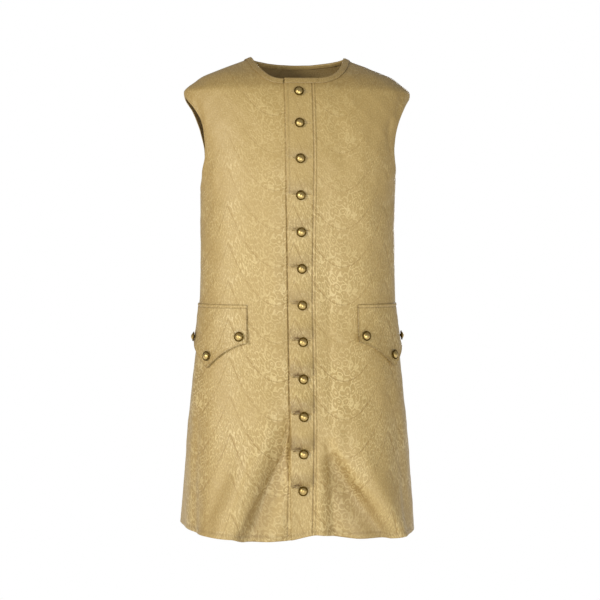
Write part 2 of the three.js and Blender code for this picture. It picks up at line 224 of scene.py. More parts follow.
BACK_CREASES = [
    (-30, -120, -22, -240, -26, -360, -1.6, 13, 13),
    (34, -150, 26, -270, 34, -400, 1.4, 15, 15),
    (-150, -110, -100, -160, -40, -176, 1.4, 13, 13),
    (150, -110, 104, -166, 44, -184, -1.6, 13, 13),
    (-190, -250, -130, -276, -60, -280, -1.8, 12, 12),
    (196, -262, 140, -292, 70, -300, 1.6, 12, 12),
    (-210, -370, -140, -388, -50, -384, 1.5, 12, 12),
    (206, -380, 130, -404, 40, -400, -1.7, 12, 12),
    (-200, -430, -120, -444, -30, -440, -1.2, 12, 12),
    (-90, -560, -110, -760, -136, -940, 2.0, 18, 18),
    (88, -560, 104, -760, 122, -940, -2.2, 18, 18),
    (10, -620, 14, -780, 6, -940, 1.8, 18, 18),
    (-210, -600, -230, -780, -250, -940, -1.8, 16, 16),
    (196, -610, 214, -780, 236, -940, 1.9, 16, 16),
]


# ------------------------------------------------------------------ the worn form
def reach(angle, z):
    """Distance from the axis to the level section: a superellipse with a depth for each side."""
    turn = np.radians(angle)
    along = np.cos(turn)
    depth = np.abs(along) / np.where(along > 0, RING.front(z), RING.back(z))
    across = np.abs(np.sin(turn)) / RING.side(z)
    power = RING.power(z)
    return (across ** power + depth ** power) ** (-1 / power)


def fold_depth(angle, z):
    """Sum of the folds: each is its depth, times (share of the way down)^1.5, times a hump
    (1 - |across|^flatness)² over its width."""
    depth = np.zeros(np.broadcast(angle, z).shape)
    for top, top_z, foot, foot_z, top_half, foot_half, deep, flatness in FOLDS:
        t = np.clip((top_z - z) / (top_z - foot_z), 0, 1)
        turn = (angle - mix(top, foot, t) + 180) % 360 - 180
        across = np.clip(np.abs(turn) / mix(top_half, foot_half, t), 0, 1)
        depth += deep * t ** 1.5 * (1 - across ** flatness) ** 2
    return depth


def skin(angle, z):
    """Point of the worn form's outer face at an angle round the axis and a height."""
    angle, z = np.broadcast_arrays(np.asarray(angle, float), np.asarray(z, float))
    radius = reach(angle, z) + fold_depth(angle, z)
    turn = np.radians(angle)
    return np.stack([radius * np.sin(turn), -radius * np.cos(turn), z], axis=-1)


def outward(angle, z):
    """Unit normal of the form: the cross product of its two small steps."""
    turn = skin(angle + 0.25, z) - skin(angle - 0.25, z)
    rise = skin(angle, z + 0.5) - skin(angle, z - 0.5)
    return unit(np.cross(turn, rise))


def lifted(angle, z, lift):
    """Points at a height over the form, and its normals there."""
    normal = outward(angle, z)
    return skin(angle, z) + normal * np.asarray(lift)[..., None], normal


def angle_at(x, z):
    """Angle of the front at a sideways distance from the button line; its sway dies out beside
    the lap."""
    across = x + RING.sway(z) * (1 - smooth((np.abs(x) - LAP) / SWAY_FADE))
    power = RING.power(z)
    share = np.clip(np.abs(across) / RING.side(z), 0, 1)
    return np.degrees(np.arctan2(across, RING.front(z) * (1 - share ** power) ** (1 / power)))


# Distance along the cloth, at a level, from the button line: a table over angle and height.
ARC_ANGLES = np.arange(-110.0, 291.0, 1.0)
ARC_HEIGHTS = np.linspace(HEM - 5, 31, 246)


def arc_table():
    gone = travelled(skin(ARC_ANGLES[None, :], ARC_HEIGHTS[:, None]), axis=1)
    place = angle_at(0.0, ARC_HEIGHTS) - ARC_ANGLES[0]
    i = place.astype(int)
    rows = np.arange(len(gone))
    start = mix(gone[rows, i], gone[rows, i + 1], place - i)
    return gone - start[:, None]


ARCS = arc_table()


def arc(angle, z):
    """Distance along the cloth from the button line, read between the table's places."""
    a = np.clip(angle - ARC_ANGLES[0], 0, len(ARC_ANGLES) - 1.001)
    h = (z - ARC_HEIGHTS[0]) / (ARC_HEIGHTS[1] - ARC_HEIGHTS[0])
    h = np.clip(h, 0, len(ARC_HEIGHTS) - 1.001)
    i, j = a.astype(int), h.astype(int)
    s, t = a - i, h - j
    low = mix(ARCS[j, i], ARCS[j, i + 1], s)
    high = mix(ARCS[j + 1, i], ARCS[j + 1, i + 1], s)
    return mix(low, high, t)


MM_PER_DEGREE = 4.2
NEWTON_STEPS = 14
LARGEST_STEP = 25.0


def angle_for(along, z):
    """The angle that lies a distance along the cloth from the button line, by Newton's steps."""
    along, z = np.broadcast_arrays(np.asarray(along, float), np.asarray(z, float))
    angle = along / MM_PER_DEGREE
    for _ in range(NEWTON_STEPS):
        slope = (arc(angle + 1.0, z) - arc(angle - 1.0, z)) / 2
        step = np.clip((along - arc(angle, z)) / slope, -LARGEST_STEP, LARGEST_STEP)
        angle = np.clip(angle + step, ARC_ANGLES[0] + 2, ARC_ANGLES[-1] - 2)
    return angle


MERIDIAN = 30.0
RISES = travelled(skin(MERIDIAN, ARC_HEIGHTS))
PATTERN_LEVEL = -713.5


def climb(z):
    """Distance along the cloth up one meridian, from the level where the pattern starts."""
    return np.interp(z, ARC_HEIGHTS, RISES) - np.interp(PATTERN_LEVEL, ARC_HEIGHTS, RISES)


# ------------------------------------------------------------------ relief of the worn cloth
def creases(along, z, rows, open_end=False):
    """Sum of soft troughs and ridges. Each follows a parabola through three points; its depth
    swells and dies as sin(pi s)^0.8 on the way, and it falls off across as exp(-(d/w)²) with its
    own w on each side. Where its end is open it grows as sin(pi s / 2)^0.6 and widens with s."""
    total = np.zeros(along.shape)
    t = np.linspace(0, 1, 11)[:, None]
    for x0, z0, x1, z1, x2, z2, deep, right_half, left_half in rows:
        a, b, c = np.array([x0, z0]), np.array([x1, z1]), np.array([x2, z2])
        path = a * (1 - t) * (1 - 2 * t) + b * 4 * t * (1 - t) + c * t * (2 * t - 1)
        best = np.full(along.shape, 1e9)
        share = np.zeros(along.shape)
        hand = np.zeros(along.shape)
        for k in range(len(path) - 1):
            step = path[k + 1] - path[k]
            off_x, off_z = along - path[k, 0], z - path[k, 1]
            s = np.clip((off_x * step[0] + off_z * step[1]) / (step @ step), 0, 1)
            d = np.hypot(off_x - s * step[0], off_z - s * step[1])
            nearer = d < best
            best = np.where(nearer, d, best)
            share = np.where(nearer, (k + s) / (len(path) - 1), share)
            hand = np.where(nearer, off_x * step[1] - off_z * step[0], hand)
        half = np.where(hand * (z2 - z0) > 0, left_half, right_half)
        if open_end:
            half = half * mix(0.5, 1.0, share)
            swell = np.sin(np.pi / 2 * share) ** 0.6
        else:
            swell = np.sin(np.pi * share) ** 0.8
        total += deep * swell * np.exp(-((best / half) ** 2))
    return total


# Slow unevenness: wave lengths across and up (mm), slant, start, height.
WAVES = [
    (150, 260, 0.4, 0.7, 0.7), (95, 190, -0.5, 2.1, 0.5), (61, 120, 0.6, 4.0, 0.35),
    (43, 83, -0.7, 1.2, 0.22), (31, 52, 0.5, 5.2, 0.14), (23, 37, -0.3, 3.3, 0.09),
]


def unevenness(along, z):
    """Sum of slanting sine waves of unequal lengths."""
    total = np.zeros(along.shape)
    for across, up, slant, start, height in WAVES:
        wave = np.sin(2 * np.pi * (along + slant * z) / across + start)
        total += height * wave * np.cos(2 * np.pi * z / up + 1.7 * start)
    return total


# How far each buttonhole lies above its button, how far it gapes, and how full the strip hangs
# between that button and the one above.
HOLES = table("rise gape swell", [
    (0, 0.5, 0), (0.5, 0.5, 1.0), (2, 0.8, 2.6), (3, 1.1, 4.0), (4, 1.3, 4.6), (4, 1.4, 5.0),
    (4, 1.4, 5.2), (4.5, 1.7, 6.6), (5, 1.9, 7.4), (6, 2.3, 8.0), (6.5, 2.3, 8.0), (7, 2.3, 7.6),
])
HOLE_LEFT, HOLE_RIGHT = -16.0, 23.0
HOLE_HEIGHTS = BUTTON_HEIGHTS + HOLES.rise


def strip_slip(z):
    """How far the strip has slipped past its buttons, to the wearer's right, at a height."""
    return -7.0 * smooth((-z - 150) / 350)


def slit(x, z):
    """Depth of the open slits: exp(-(d/w)²) up and down, between a hole's two ends. Each gapes
    widest beside its button, where the shank drags it open."""
    place = x - strip_slip(z)
    ends = smooth((place - HOLE_LEFT) / 3) * smooth((HOLE_RIGHT - place) / 3)
    total = np.zeros(x.shape)
    for hole, gape in zip(HOLE_HEIGHTS, HOLES.gape):
        open_half = 0.5 + 1.5 * (gape - 0.4) * bell(x, -11, 6)
        total += mix(0.6, gape, 0.5) * bell(z, hole + open_half - 0.5, open_half)
    return total * ends


def strip_gaps(z):
    """For every two buttons: the share of the way down between their holes, the height of the
    lower hole, and how full the strip hangs there."""
    for top, foot, swell in zip(HOLE_HEIGHTS[:-1], HOLE_HEIGHTS[1:], HOLES.swell[1:]):
        yield np.clip((top - z) / (top - foot), 0, 1), foot, swell


def strip_swell(x, z):
    """Cloth of the buttoned strip between two buttons: sin(pi s^2.2) down the gap, so it hangs
    fullest just above the lower buttonhole and turns in under there, times cos across."""
    across = np.cos(np.pi / 2 * np.clip(np.abs(x + 2) / 26, 0, 1)) ** 0.8
    full = sum(swell * np.sin(np.pi * s ** 2.2) for s, _, swell in strip_gaps(z))
    return full * across - 1.2 * slit(x, z)


def strip_shade(x, z):
    """Share of shade on the strip: where it turns in over each lower buttonhole, deeper towards
    the lap's edge, and in the pucker beside that buttonhole."""
    across = smooth((x + 29) / 3) * smooth((28 - x) / 8) * mix(1.0, 0.6, smooth((x + 20) / 40))
    total = np.zeros(x.shape)
    for s, foot, swell in strip_gaps(z):
        turned_in = smooth((s - 0.5) / 0.34) * smooth((1 - s) / 0.04) * across
        pucker = bell(x, -14, 9) * bell(z, foot + 4 + 0.2 * (x + 14), 3.6)
        total += swell / 8 * (0.44 * turned_in + 0.5 * pucker)
    return total


def seam_fade(angle, z):
    """Relief fades out beside the side seam and the shoulder seam, so two panels meet there:
    1 - exp(-(d/14)²), d being the angle to the seam times the distance round a degree."""
    turn = np.minimum(np.abs(angle), 360 - np.abs(angle))
    side = np.where(z < UNDERARM + 20, np.abs(turn - SIDE_SEAM) * 3.7, FAR)
    shoulder = np.where(z > -110, np.abs(turn - 90) * 2.6, FAR)
    return 1 - bell(np.minimum(side, shoulder), 0, 14)


def front_relief(angle, z):
    """Relief of both fronts. The lapped strip has one relief, so its two layers never meet."""
    along = arc(angle, z)
    beside = smooth((np.abs(along) - LAP) / 14)
    total = creases(along, z, FRONT_CREASES) * np.where(along < 0, beside, 1)
    total += creases(along, z, FRONT_TROUGHS, open_end=True) * smooth((np.abs(along) - 24) / 8)
    total += unevenness(along, z) * beside
    return total * seam_fade(angle, z) + strip_swell(along, z)


def back_relief(angle, z):
    """Relief of the back, whose distances run from its own middle."""
    along = arc(angle, z) - arc(np.full(np.shape(angle), 180.0), z)
    total = creases(along, z, BACK_CREASES) + unevenness(along + 700, z)
    return (total + creases(along, z, BACK_TROUGHS, open_end=True)) * seam_fade(angle, z)


def worn_relief(angle, z):
    """Relief of whichever panel lies at an angle from -90 to 450."""
    turn = np.where(angle > 270, angle - 360, angle)
    return np.where(np.abs(turn) < 90, front_relief(turn, z), back_relief(turn, z))


# Stitched lines beside the strip, on the left front and on the right one: distance from the
# button line, depth, half width, and darkness of the painted shade along each.
STRIP_LINES = ((27.8, 1.2, 1.3, 0.5), (34.0, 0.6, 1.1, 0.24))
EDGE_GROOVES = ((-29.0, 1.7, 1.2, 0.45), (-36.4, 0.5, 1.1, 0.2))
DEPTH, DARKNESS = 1, 3


def strip_lines(along, z, rows, column):
    """Sum of exp(-(d/w)²) over the lines, times their depth or the darkness of their painted shade.
    Lines on the left front slip with the strip."""
    total = np.zeros(along.shape)
    for row in rows:
        slip = strip_slip(z) if row[0] > 0 else 0.0
        total += row[column] * bell(along - slip, row[0], row[2])
    return total


def front_dents(along, z):
    """Depth that stitched lines press into the left front, and the ridge between them."""
    ridge = 0.7 * bell(along - strip_slip(z), 31, 1.9)
    return strip_lines(along, z, STRIP_LINES, DEPTH) - ridge


def front_painted_shade(along, z, near, side):
    """Share of painted shade on a front: its seams and stitched lines, the slits and the strip over
    them, the hem and the deepest folds: 0 to 1.
    """
    if side > 0:
        tight = mix(1.0, 0.45, smooth((along + 2) / 10))
        dark = strip_lines(along, z, STRIP_LINES, DARKNESS) + strip_shade(along, z)
        dark += 0.6 * slit(along, z) * tight
    else:
        lower = mix(0.25, 1.0, smooth((-z - 180) / 200))
        dark = strip_lines(along, z, EDGE_GROOVES, DARKNESS) * lower
    dark += 0.2 * bell(z, HEM + HEM_STITCH, 1.4)
    dark += 0.26 * smooth(-creases(along, z, FRONT_TROUGHS, open_end=True) / 15 - 0.3)
    return np.clip(dark + 0.22 * bell(near, ARM_STITCH, 1.3) * (z > UNDERARM), 0, 1)


def hem_fall(angle, z):
    """How far the skirt's foot hangs below the level hem: most beside the lap on the wearer's
    right and all round the wearer's left side. It dies out a hand's breadth up."""
    turn = (angle + 180) % 360 - 180
    right = 10 * smooth((turn + 44) / 9) * smooth((14 - turn) / 30)
    left = 11 * smooth((turn - 10) / 34) * smooth((175 - turn) / 75)
    return (right + left) * smooth((HEM + 87 - z) / 87)


# ------------------------------------------------------------------ meshes
def make_piece(name, slot, node, points, faces, finishes, uv=None, slots=None, marks=None):
    """Puts arrays of points (mm) and faces into a mesh at the origin. The piece rides the
    garment and takes the place of a solid's node where one is named. Its slot is not used."""
    mesh = bpy.data.meshes.new(name)
    mesh.from_pydata((np.asarray(points) * MM).tolist(), [], [list(f) for f in faces])
    for one in finishes:
        mesh.materials.append(one)
    if slots is not None:
        mesh.polygons.foreach_set("material_index", np.asarray(slots, np.int32))
    if uv is not None:
        corners = np.empty(len(mesh.loops), np.int32)
        mesh.loops.foreach_get("vertex_index", corners)
        layer = mesh.uv_layers.new(name="Cloth")
        layer.data.foreach_set("uv", (np.asarray(uv) * MM)[corners].astype(np.float32).ravel())
    for mark, values in (marks or {}).items():
        layer = mesh.attributes.new(mark, "FLOAT", "POINT")
        layer.data.foreach_set("value", np.asarray(values, np.float32))
    mesh.polygons.foreach_set("use_smooth", np.ones(len(mesh.polygons), bool))
    mesh.update()
    piece = bpy.data.objects.new(name, mesh)
    bpy.context.scene.collection.objects.link(piece)
    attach(piece, "root")
    if node:
        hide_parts(node)
    return piece


def numbered(shape):
    """Point numbers of a grid, row by row."""
    return np.arange(math.prod(shape)).reshape(shape)


def grid_quads(index, keep=...):
    """Quads of a grid of point numbers whose rows go up and whose columns go to the left."""
    quads = np.stack([index[:-1, :-1], index[:-1, 1:], index[1:, 1:], index[1:, :-1]], axis=-1)
    return quads[keep].reshape(-1, 4)


def ring_quads(index):
    """Quads between rings of point numbers, each ring closed on itself."""
    after = np.roll(index, -1, axis=1)
    return np.stack([index[:-1], index[1:], after[1:], after[:-1]], axis=-1).reshape(-1, 4)


def rim_edges(quads):
    """Directed edges that only one quad uses."""
    starts = quads.ravel()
    ends = np.roll(quads, -1, axis=1).ravel()
    size = quads.max() + 1
    keys = starts.astype(np.int64) * size + ends
    back = ends.astype(np.int64) * size + starts
    open_edge = ~np.isin(keys, back)
    return np.stack([starts[open_edge], ends[open_edge]], axis=1)


def cloth_shell(node, outer, inner, quads, uv, painted_shade=None):
    """Closed wall: the outer face, the inner face turned over, and a rim along every open edge."""
    used = np.unique(quads)
    order = np.zeros(len(outer), int)
    order[used] = np.arange(len(used))
    quads = order[quads]
    count = len(used)
    edges = rim_edges(quads)
    rim = np.stack([edges[:, 0], edges[:, 0] + count, edges[:, 1] + count, edges[:, 1]], axis=1)
    faces = np.concatenate([quads, quads[:, ::-1] + count, rim])
    slots = np.repeat([0, 1, 0], [len(quads), len(quads), len(rim)])
    # painted shade, marked on the outer face only
    shade = np.zeros(count) if painted_shade is None else painted_shade[used]
    return make_piece(
        f"{node}_cloth", "brocade", node, np.concatenate([outer[used], inner[used]]), faces,
        [finish("satin_brocade_face"), finish("satin_brocade_reverse")],
        np.concatenate([uv[used], uv[used]]), slots,
        {"painted_shade": np.concatenate([shade, np.zeros(count)])})


def hung_sheet(node, outer, inner, quads, uv, painted_shade=None):
    """A wall of hanging cloth. It also works out the area of its faces laid out in their cloth
    coordinates, in square millimetres, and keeps nothing of it."""
    piece = cloth_shell(node, outer, inner, quads, uv, painted_shade)
    used = uv[np.unique(quads)]
    x, y = uv[quads][..., 0], uv[quads][..., 1]
    area = 0.5 * np.abs(np.sum(x * np.roll(y, -1, 1) - y * np.roll(x, -1, 1), axis=1)).sum()


def turned_edge(distance, radius=1.1):
    """Half the wall near a turned edge: a quarter circle, sqrt(1 - (1 - d/r)²), times half."""
    d = np.clip(distance / radius, 0, 1)
    return WALL / 2 * np.maximum(np.sqrt(1 - (1 - d) ** 2), 0.08)


def wall_faces(angle, level, lift, half, dent=0.0):
    """Outer and inner face of a panel, each half the wall from its middle."""
    middle, normal = lifted(angle, level, lift - WALL / 2)
    middle[:, 2] -= hem_fall(angle, level)
    return middle + normal * (half - dent)[:, None], middle - normal * half[:, None]


def pattern_uv(along, z, axis):
    return np.stack([along - axis, climb(z)], axis=-1)


# ------------------------------------------------------------------ panels
BODY_ROWS, ARM_ROWS = 22, 14
FRONT_NECK_ROWS, BACK_NECK_ROWS = 5, 4
EDGE_STEPS = np.array([0.0, 0.35, 1.1, 2.6])
# Close rows beside a buttonhole, and close columns beside the strip's stitched lines.
HOLE_ROWS = (-3.5, -2, -0.8, 0.0, 0.8, 2, 3.5, 6)
LINE_COLUMNS = (0, 0.6, 1.3, 2.1, 3.0, 3.8, 4.5, 5.3, 6.4, 8.0, 10.0)
STRIP_COLUMNS = np.concatenate([
    -LAP + EDGE_STEPS[:-1], np.linspace(-25.4, 16, 26), np.linspace(17, 27.4, 13),
])


def row_places(neck_rows, fine, extra=()):
    """Places of a panel's rows, counted in the frame's rows from the hem to the shoulder."""
    chest = BODY_ROWS + ARM_ROWS - neck_rows
    spacing = (UNDERARM - HEM) / BODY_ROWS
    body = np.linspace(0, BODY_ROWS, BODY_ROWS * fine + 1)
    arm = np.linspace(BODY_ROWS, chest, (ARM_ROWS - neck_rows) * fine + 1)
    neck = np.linspace(chest, BODY_ROWS + ARM_ROWS, neck_rows * fine + 1)
    places = np.concatenate([body, arm, neck, EDGE_STEPS / spacing, np.asarray(extra, float)])
    places = np.unique(np.round(places, 4))
    close = np.diff(places, prepend=-1) > 0.012
    return places[close]


def row_levels(places, neck_rows, middle):
    """Height of each row at its inner end and at the side seam or armhole."""
    chest = ARM_ROWS - neck_rows
    up = np.clip(places - BODY_ROWS, 0, ARM_ROWS)
    arm = up / ARM_ROWS
    neck = np.clip((up - chest) / neck_rows, 0, 1)
    body = mix(HEM, UNDERARM, np.clip(places / BODY_ROWS, 0, 1))
    edge = np.where(up <= 0, body, mix(UNDERARM, middle, np.clip(up / chest, 0, 1)))
    seam = np.where(up <= 0, body, ARMHOLE.z(arm))
    return edge, seam, arm, neck


def place_of(z, neck_rows, middle):
    """The row place that has a height at its inner end."""
    chest = ARM_ROWS - neck_rows
    low = (z - HEM) / (UNDERARM - HEM) * BODY_ROWS
    high = BODY_ROWS + (z - UNDERARM) / (middle - UNDERARM) * chest
    return np.where(z <= UNDERARM, low, high)


def even_columns(start, end, start_z, end_z, count, close=(0.0, 0.0)):
    """Shares of the way across for each row, even but for close columns at its two ends; the
    near ones lie at the distances of close."""
    t = np.linspace(0, 1, 25)
    line = skin(mix(start[:, None], end[:, None], t), mix(start_z[:, None], end_z[:, None], t))
    width = np.linalg.norm(np.diff(line, axis=1), axis=-1).sum(axis=1)
    last = 1 - EDGE_STEPS[None, ::-1] / width[:, None]
    close = np.asarray(close, float)[None, :] / width[:, None]
    from_close = close[:, -1:]
    first = from_close + np.linspace(0, 1, count)[None, :-1] * (last[:, :1] - from_close)
    return np.concatenate([close[:, :-1], first, last], axis=1), width


def front_grid(side):
    """Angles, heights, distances from an edge and kept quads of a front: level rows on the lapped
    strip, and rows from there to the side seam, armhole and shoulder seam in the main panel."""
    holes = np.concatenate([HOLE_HEIGHTS + d for d in HOLE_ROWS])
    extra = place_of(holes, FRONT_NECK_ROWS, NECK_PIT) if side > 0 else ()
    places = row_places(FRONT_NECK_ROWS, 7, extra)
    edge, seam, arm, neck = row_levels(places, FRONT_NECK_ROWS, NECK_PIT)
    inner_x = np.where(neck > 0, FRONT_NECK.x(neck), LAP)
    inner_z = np.where(neck > 0, FRONT_NECK.z(neck), edge)
    start = np.where(neck == 1, 90, side * angle_at(side * inner_x, inner_z))
    end = ARMHOLE.front(arm)
    t, width = even_columns(start, end, inner_z, seam, 72, LINE_COLUMNS)
    lapped = np.ones((len(edge), len(STRIP_COLUMNS)))
    angle = np.hstack([
        angle_at(side * STRIP_COLUMNS, edge[:, None]), side * mix(start[:, None], end[:, None], t),
    ])
    level = np.hstack([edge[:, None] * lapped, mix(inner_z[:, None], seam[:, None], t)])
    from_edge = np.hstack([(STRIP_COLUMNS + LAP) * lapped, np.full(t.shape, FAR)])
    to_seam = np.hstack([lapped * FAR, (1 - t) * width[:, None]])
    near = np.minimum(np.minimum(from_edge, to_seam), (edge - HEM)[:, None])
    keep = np.ones((len(edge) - 1, angle.shape[1] - 1), bool)
    keep[neck[1:] > 0, :len(STRIP_COLUMNS)] = False
    return angle, level, near, keep


def front_lift(angle, z, side):
    """Height of a front's outer face over the form: it is lifted on the lap, and has its relief."""
    along = arc(angle, z)
    across = np.abs(skin(angle, z)[..., 0] - RING.sway(z))
    own = OVER_LIFT if side > 0 else UNDER_DROP
    within = along * side < LAP
    lift = np.where(within, own, own * (1 - smooth((across - LAP) / LAP_EASE)))
    if side > 0:
        lift = lift + 0.9 * bell(along, -LAP, 4) * smooth((NECK_PIT - 16 - z) / 30)
    else:
        grooves = strip_lines(along, z, EDGE_GROOVES, DEPTH)
        lift = lift - grooves * mix(0.35, 1.0, smooth((-z - 120) / 260))
    return lift + front_relief(angle, z)


def front_panel(node, side, axis):
    angle, level, near, keep = front_grid(side)
    quads = grid_quads(numbered(angle.shape), keep)[:, ::side]
    angle, level, near = angle.ravel(), level.ravel(), near.ravel()
    along = arc(angle, level)
    dent = front_dents(along, level) if side > 0 else 0.0
    walls = wall_faces(angle, level, front_lift(angle, level, side), turned_edge(near), dent)
    painted_shade = front_painted_shade(along, level, near, side)
    hung_sheet(node, *walls, quads, pattern_uv(along, level, axis), painted_shade)


def back_panel(node, axis):
    """The back, in rows from its middle to both sides. Above the nape each half has its own
    middle column, so the shared one is doubled there."""
    places = row_places(BACK_NECK_ROWS, 6)
    edge, seam, arm, neck = row_levels(places, BACK_NECK_ROWS, NAPE)
    inner_angle = np.where(neck > 0, BACK_NECK.angle(neck), 180.0)
    inner_z = np.where(neck > 0, BACK_NECK.z(neck), edge)
    end = ARMHOLE.back(arm)
    t, width = even_columns(inner_angle, end, inner_z, seam, 76, (0.0,))
    turn = mix(inner_angle[:, None], end[:, None], t)
    z = mix(inner_z[:, None], seam[:, None], t)
    to_edge = np.minimum((1 - t) * width[:, None], (edge - HEM)[:, None])
    angle = np.hstack([turn[:, ::-1], 360 - turn[:, 1:]])
    level = np.hstack([z[:, ::-1], z[:, 1:]])
    near = np.hstack([to_edge[:, ::-1], to_edge[:, 1:]])
    middle = t.shape[1] - 1
    split = np.flatnonzero(neck > 0)
    index = numbered(angle.shape)
    twin = index.copy()
    twin[split, middle] = index.size + np.arange(len(split))
    quads = np.concatenate([
        grid_quads(index, np.s_[:, :middle]), grid_quads(twin, np.s_[:, middle:]),
    ])
    angle = np.concatenate([angle.ravel(), 360 - inner_angle[split]])
    level = np.concatenate([level.ravel(), inner_z[split]])
    near = np.concatenate([near.ravel(), near[split, middle]])
    along = arc(angle, level) - arc(np.full(angle.shape, 180.0), level)
    walls = wall_faces(angle, level, back_relief(angle, level), turned_edge(near))
    hung_sheet(node, *walls, quads, pattern_uv(along, level, axis))


# ------------------------------------------------------------------ neck band
BAND_WIDTH, BAND_WALL = 13.0, 1.4
BAND_HALF = BAND_WALL / 2
BAND_SEAT = 0.2  # how far it sits below the neck edge
BAND_PUFF = 0.35
BAND_AXIS = 60.0


def neck_path():
    """Neck edge from the left front's edge over the left shoulder, round the back and down to
    the right front's lap: angle, height, lift over the form, and how far it turns inside."""
    def eased(across, lift):
        return lift * (1 - smooth((across - LAP) / LAP_EASE))

    def turned_in(across):
        return smooth((across - LAP - 3) / 14)

    lap_x = np.linspace(-LAP, LAP, 24)[:-1]
    t = np.linspace(0, 1, 60)
    x, z = FRONT_NECK.x(t), FRONT_NECK.z(t)
    left = np.where(t == 1, 90, angle_at(x, z))
    back, back_z = BACK_NECK.angle(1 - t), BACK_NECK.z(1 - t)
    right_x = np.maximum(x[::-1], LAP + 1)
    right = np.where(t[::-1] == 1, 270, 360 + angle_at(-right_x, z[::-1]))
    lap, nape = np.ones(len(lap_x)), np.zeros(2 * len(t) - 2)
    angle = [angle_at(lap_x, NECK_PIT), left, back[1:], 360 - back[::-1][1:], right[1:]]
    level = [lap * NECK_PIT, z, back_z[1:], back_z[::-1][1:], z[::-1][1:]]
    lift = [lap * OVER_LIFT, eased(x, OVER_LIFT), nape, eased(right_x, UNDER_DROP)[1:]]
    inside = [lap * 0, turned_in(x), nape + 1, turned_in(right_x)[1:]]
    return [np.concatenate(parts) for parts in (angle, level, lift, inside)]


def square_to(angle, level):
    """Unit vectors that lie in the cloth, square to a path over it."""
    travel = unit(np.gradient(skin(angle, level), axis=0))
    return unit(np.cross(travel, outward(angle, level)))


def step_over(angle, level, direction, distance):
    """Moves over the form by a distance in a direction that lies in it, solved from the two
    small steps of the surface."""
    def dot(a, b):
        return np.sum(a * b, axis=-1)

    turn = (skin(angle + 0.25, level) - skin(angle - 0.25, level)) * 2
    rise = skin(angle, level + 0.5) - skin(angle, level - 0.5)
    step = direction * np.asarray(distance)[..., None]
    a, b, c = dot(turn, turn), dot(turn, rise), dot(rise, rise)
    p, q = dot(step, turn), dot(step, rise)
    scale = 1 / (a * c - b * b)
    return angle + (p * c - q * b) * scale, level + (q * a - p * b) * scale


def neck_band(node):
    """A folded strip carried along the neck edge: its section goes up the outside, rolls over
    the edge in a half circle, and turns a short way down inside."""
    angle, level, lift, inside = neck_path()
    across = square_to(angle, level)
    top = SEAT_GAP + BAND_WALL
    outer, inner, uv = [], [], []

    def lay(point, out, outer_half, inner_half, place):
        outer.append(point + out * outer_half)
        inner.append(point - out * inner_half)
        uv.append(place)

    for d in np.concatenate([[0, 0.3, 0.9], np.linspace(2.2, BAND_WIDTH, 9)])[::-1]:
        half = min(BAND_HALF, 0.1 + 0.55 * math.sqrt(BAND_WIDTH - d))
        puff = BAND_PUFF * math.sin(math.pi * d / BAND_WIDTH)
        a, z = step_over(angle, level, across, d + BAND_SEAT)
        face, normal = lifted(a, z, lift + top - BAND_HALF + puff + worn_relief(a, z))
        along = arc(np.where(a > ARC_ANGLES[-1] - 2, a - 360, a), z)
        lay(face, normal, half, half, pattern_uv(along, z, BAND_AXIS))
    edge_uv = uv[-1]
    base, normal = skin(angle, level), outward(angle, level)
    relief = worn_relief(angle, level)
    radius = (top + WALL) / 2
    for k in range(1, 9):
        turn = math.pi * k / 8
        rise = across * (BAND_SEAT - 0.9 * math.sin(turn))
        height = lift + relief + top - BAND_HALF - radius + radius * math.cos(turn)
        out = normal * math.cos(turn) - across * math.sin(turn)
        lay(base + rise + normal * height[:, None], out, BAND_HALF, 0.9 * BAND_HALF,
            edge_uv + np.array([0, 1.2 * k]))
    for k in range(1, 5):
        a, z = step_over(angle, level, across, 2.0 * k * inside + BAND_SEAT)
        face, out = lifted(a, z, lift + relief - WALL - 0.9)
        half = 0.6 if k < 4 else 0.15
        lay(face, -out, half, half, edge_uv + np.array([0, 10 + 2.0 * k]))
    shape = (len(outer), len(angle))
    painted_shade = np.zeros(shape)
    # painted shade along the band's sewn-down edge, the one farthest from the neck edge
    painted_shade[0], painted_shade[1] = 0.6, 0.3
    outer, inner, uv = (np.concatenate(part) for part in (outer, inner, uv))
    piece = cloth_shell(node, outer, inner, grid_quads(numbered(shape)), uv, painted_shade.ravel())
    length = float(np.linalg.norm(np.diff(base, axis=0), axis=1).sum() * MM)


# ------------------------------------------------------------------ pocket flaps
def flap_foot(share):
    """Lower edge: two hollow curves that meet in the middle point."""
    from_point = np.abs(share * 2 - 1)
    return mix(FLAP_CORNER, FLAP_POINT, (1 - from_point) ** FLAP_SCALLOP)


def flap_face(side, share, z):
    """Points, normals and angles of the flap's outer face, over the panel and its relief."""
    start = arc(angle_at(side * FLAP_FRONT, z), z)
    angle = angle_for(start + side * share * FLAP_WIDTH, z)
    return *lifted(angle, z, front_lift(angle, z, side) + SEAT_GAP + WALL), angle


# Rows of a flap near its top edge, as distances down from it: its welt and the stitched line.
WELT_ROWS = np.array([16.0, 12.0, 9.6, 8.4, 7.6, 7.0, 6.5, 6.0, 5.4, 4.4, 2.9, 1.3, 0.4, 0.0])
FOOT_ROWS = np.concatenate([[0, 0.004, 0.011, 0.022, 0.036, 0.052], np.linspace(0.075, 1, 30)])


def flap_stand(share, z):
    """How far the flap stands off the panel at a place: its edges curl a little outwards."""
    from_top = FLAP_TOP - z
    from_foot = z - flap_foot(share)
    from_side = np.minimum(share, 1 - share) * FLAP_WIDTH
    full = (1 - np.exp(-np.minimum(from_foot, from_side) / 9)) * smooth((from_top - 6) / 26)
    curl = 4.2 * np.exp(-from_foot / 14) * smooth(from_top / 60)
    curl += 2.6 * np.exp(-from_side / 9) * smooth((from_top - 8) / 70)
    return full + curl + 0.45 * bell(from_top, 2.8, 2.2)


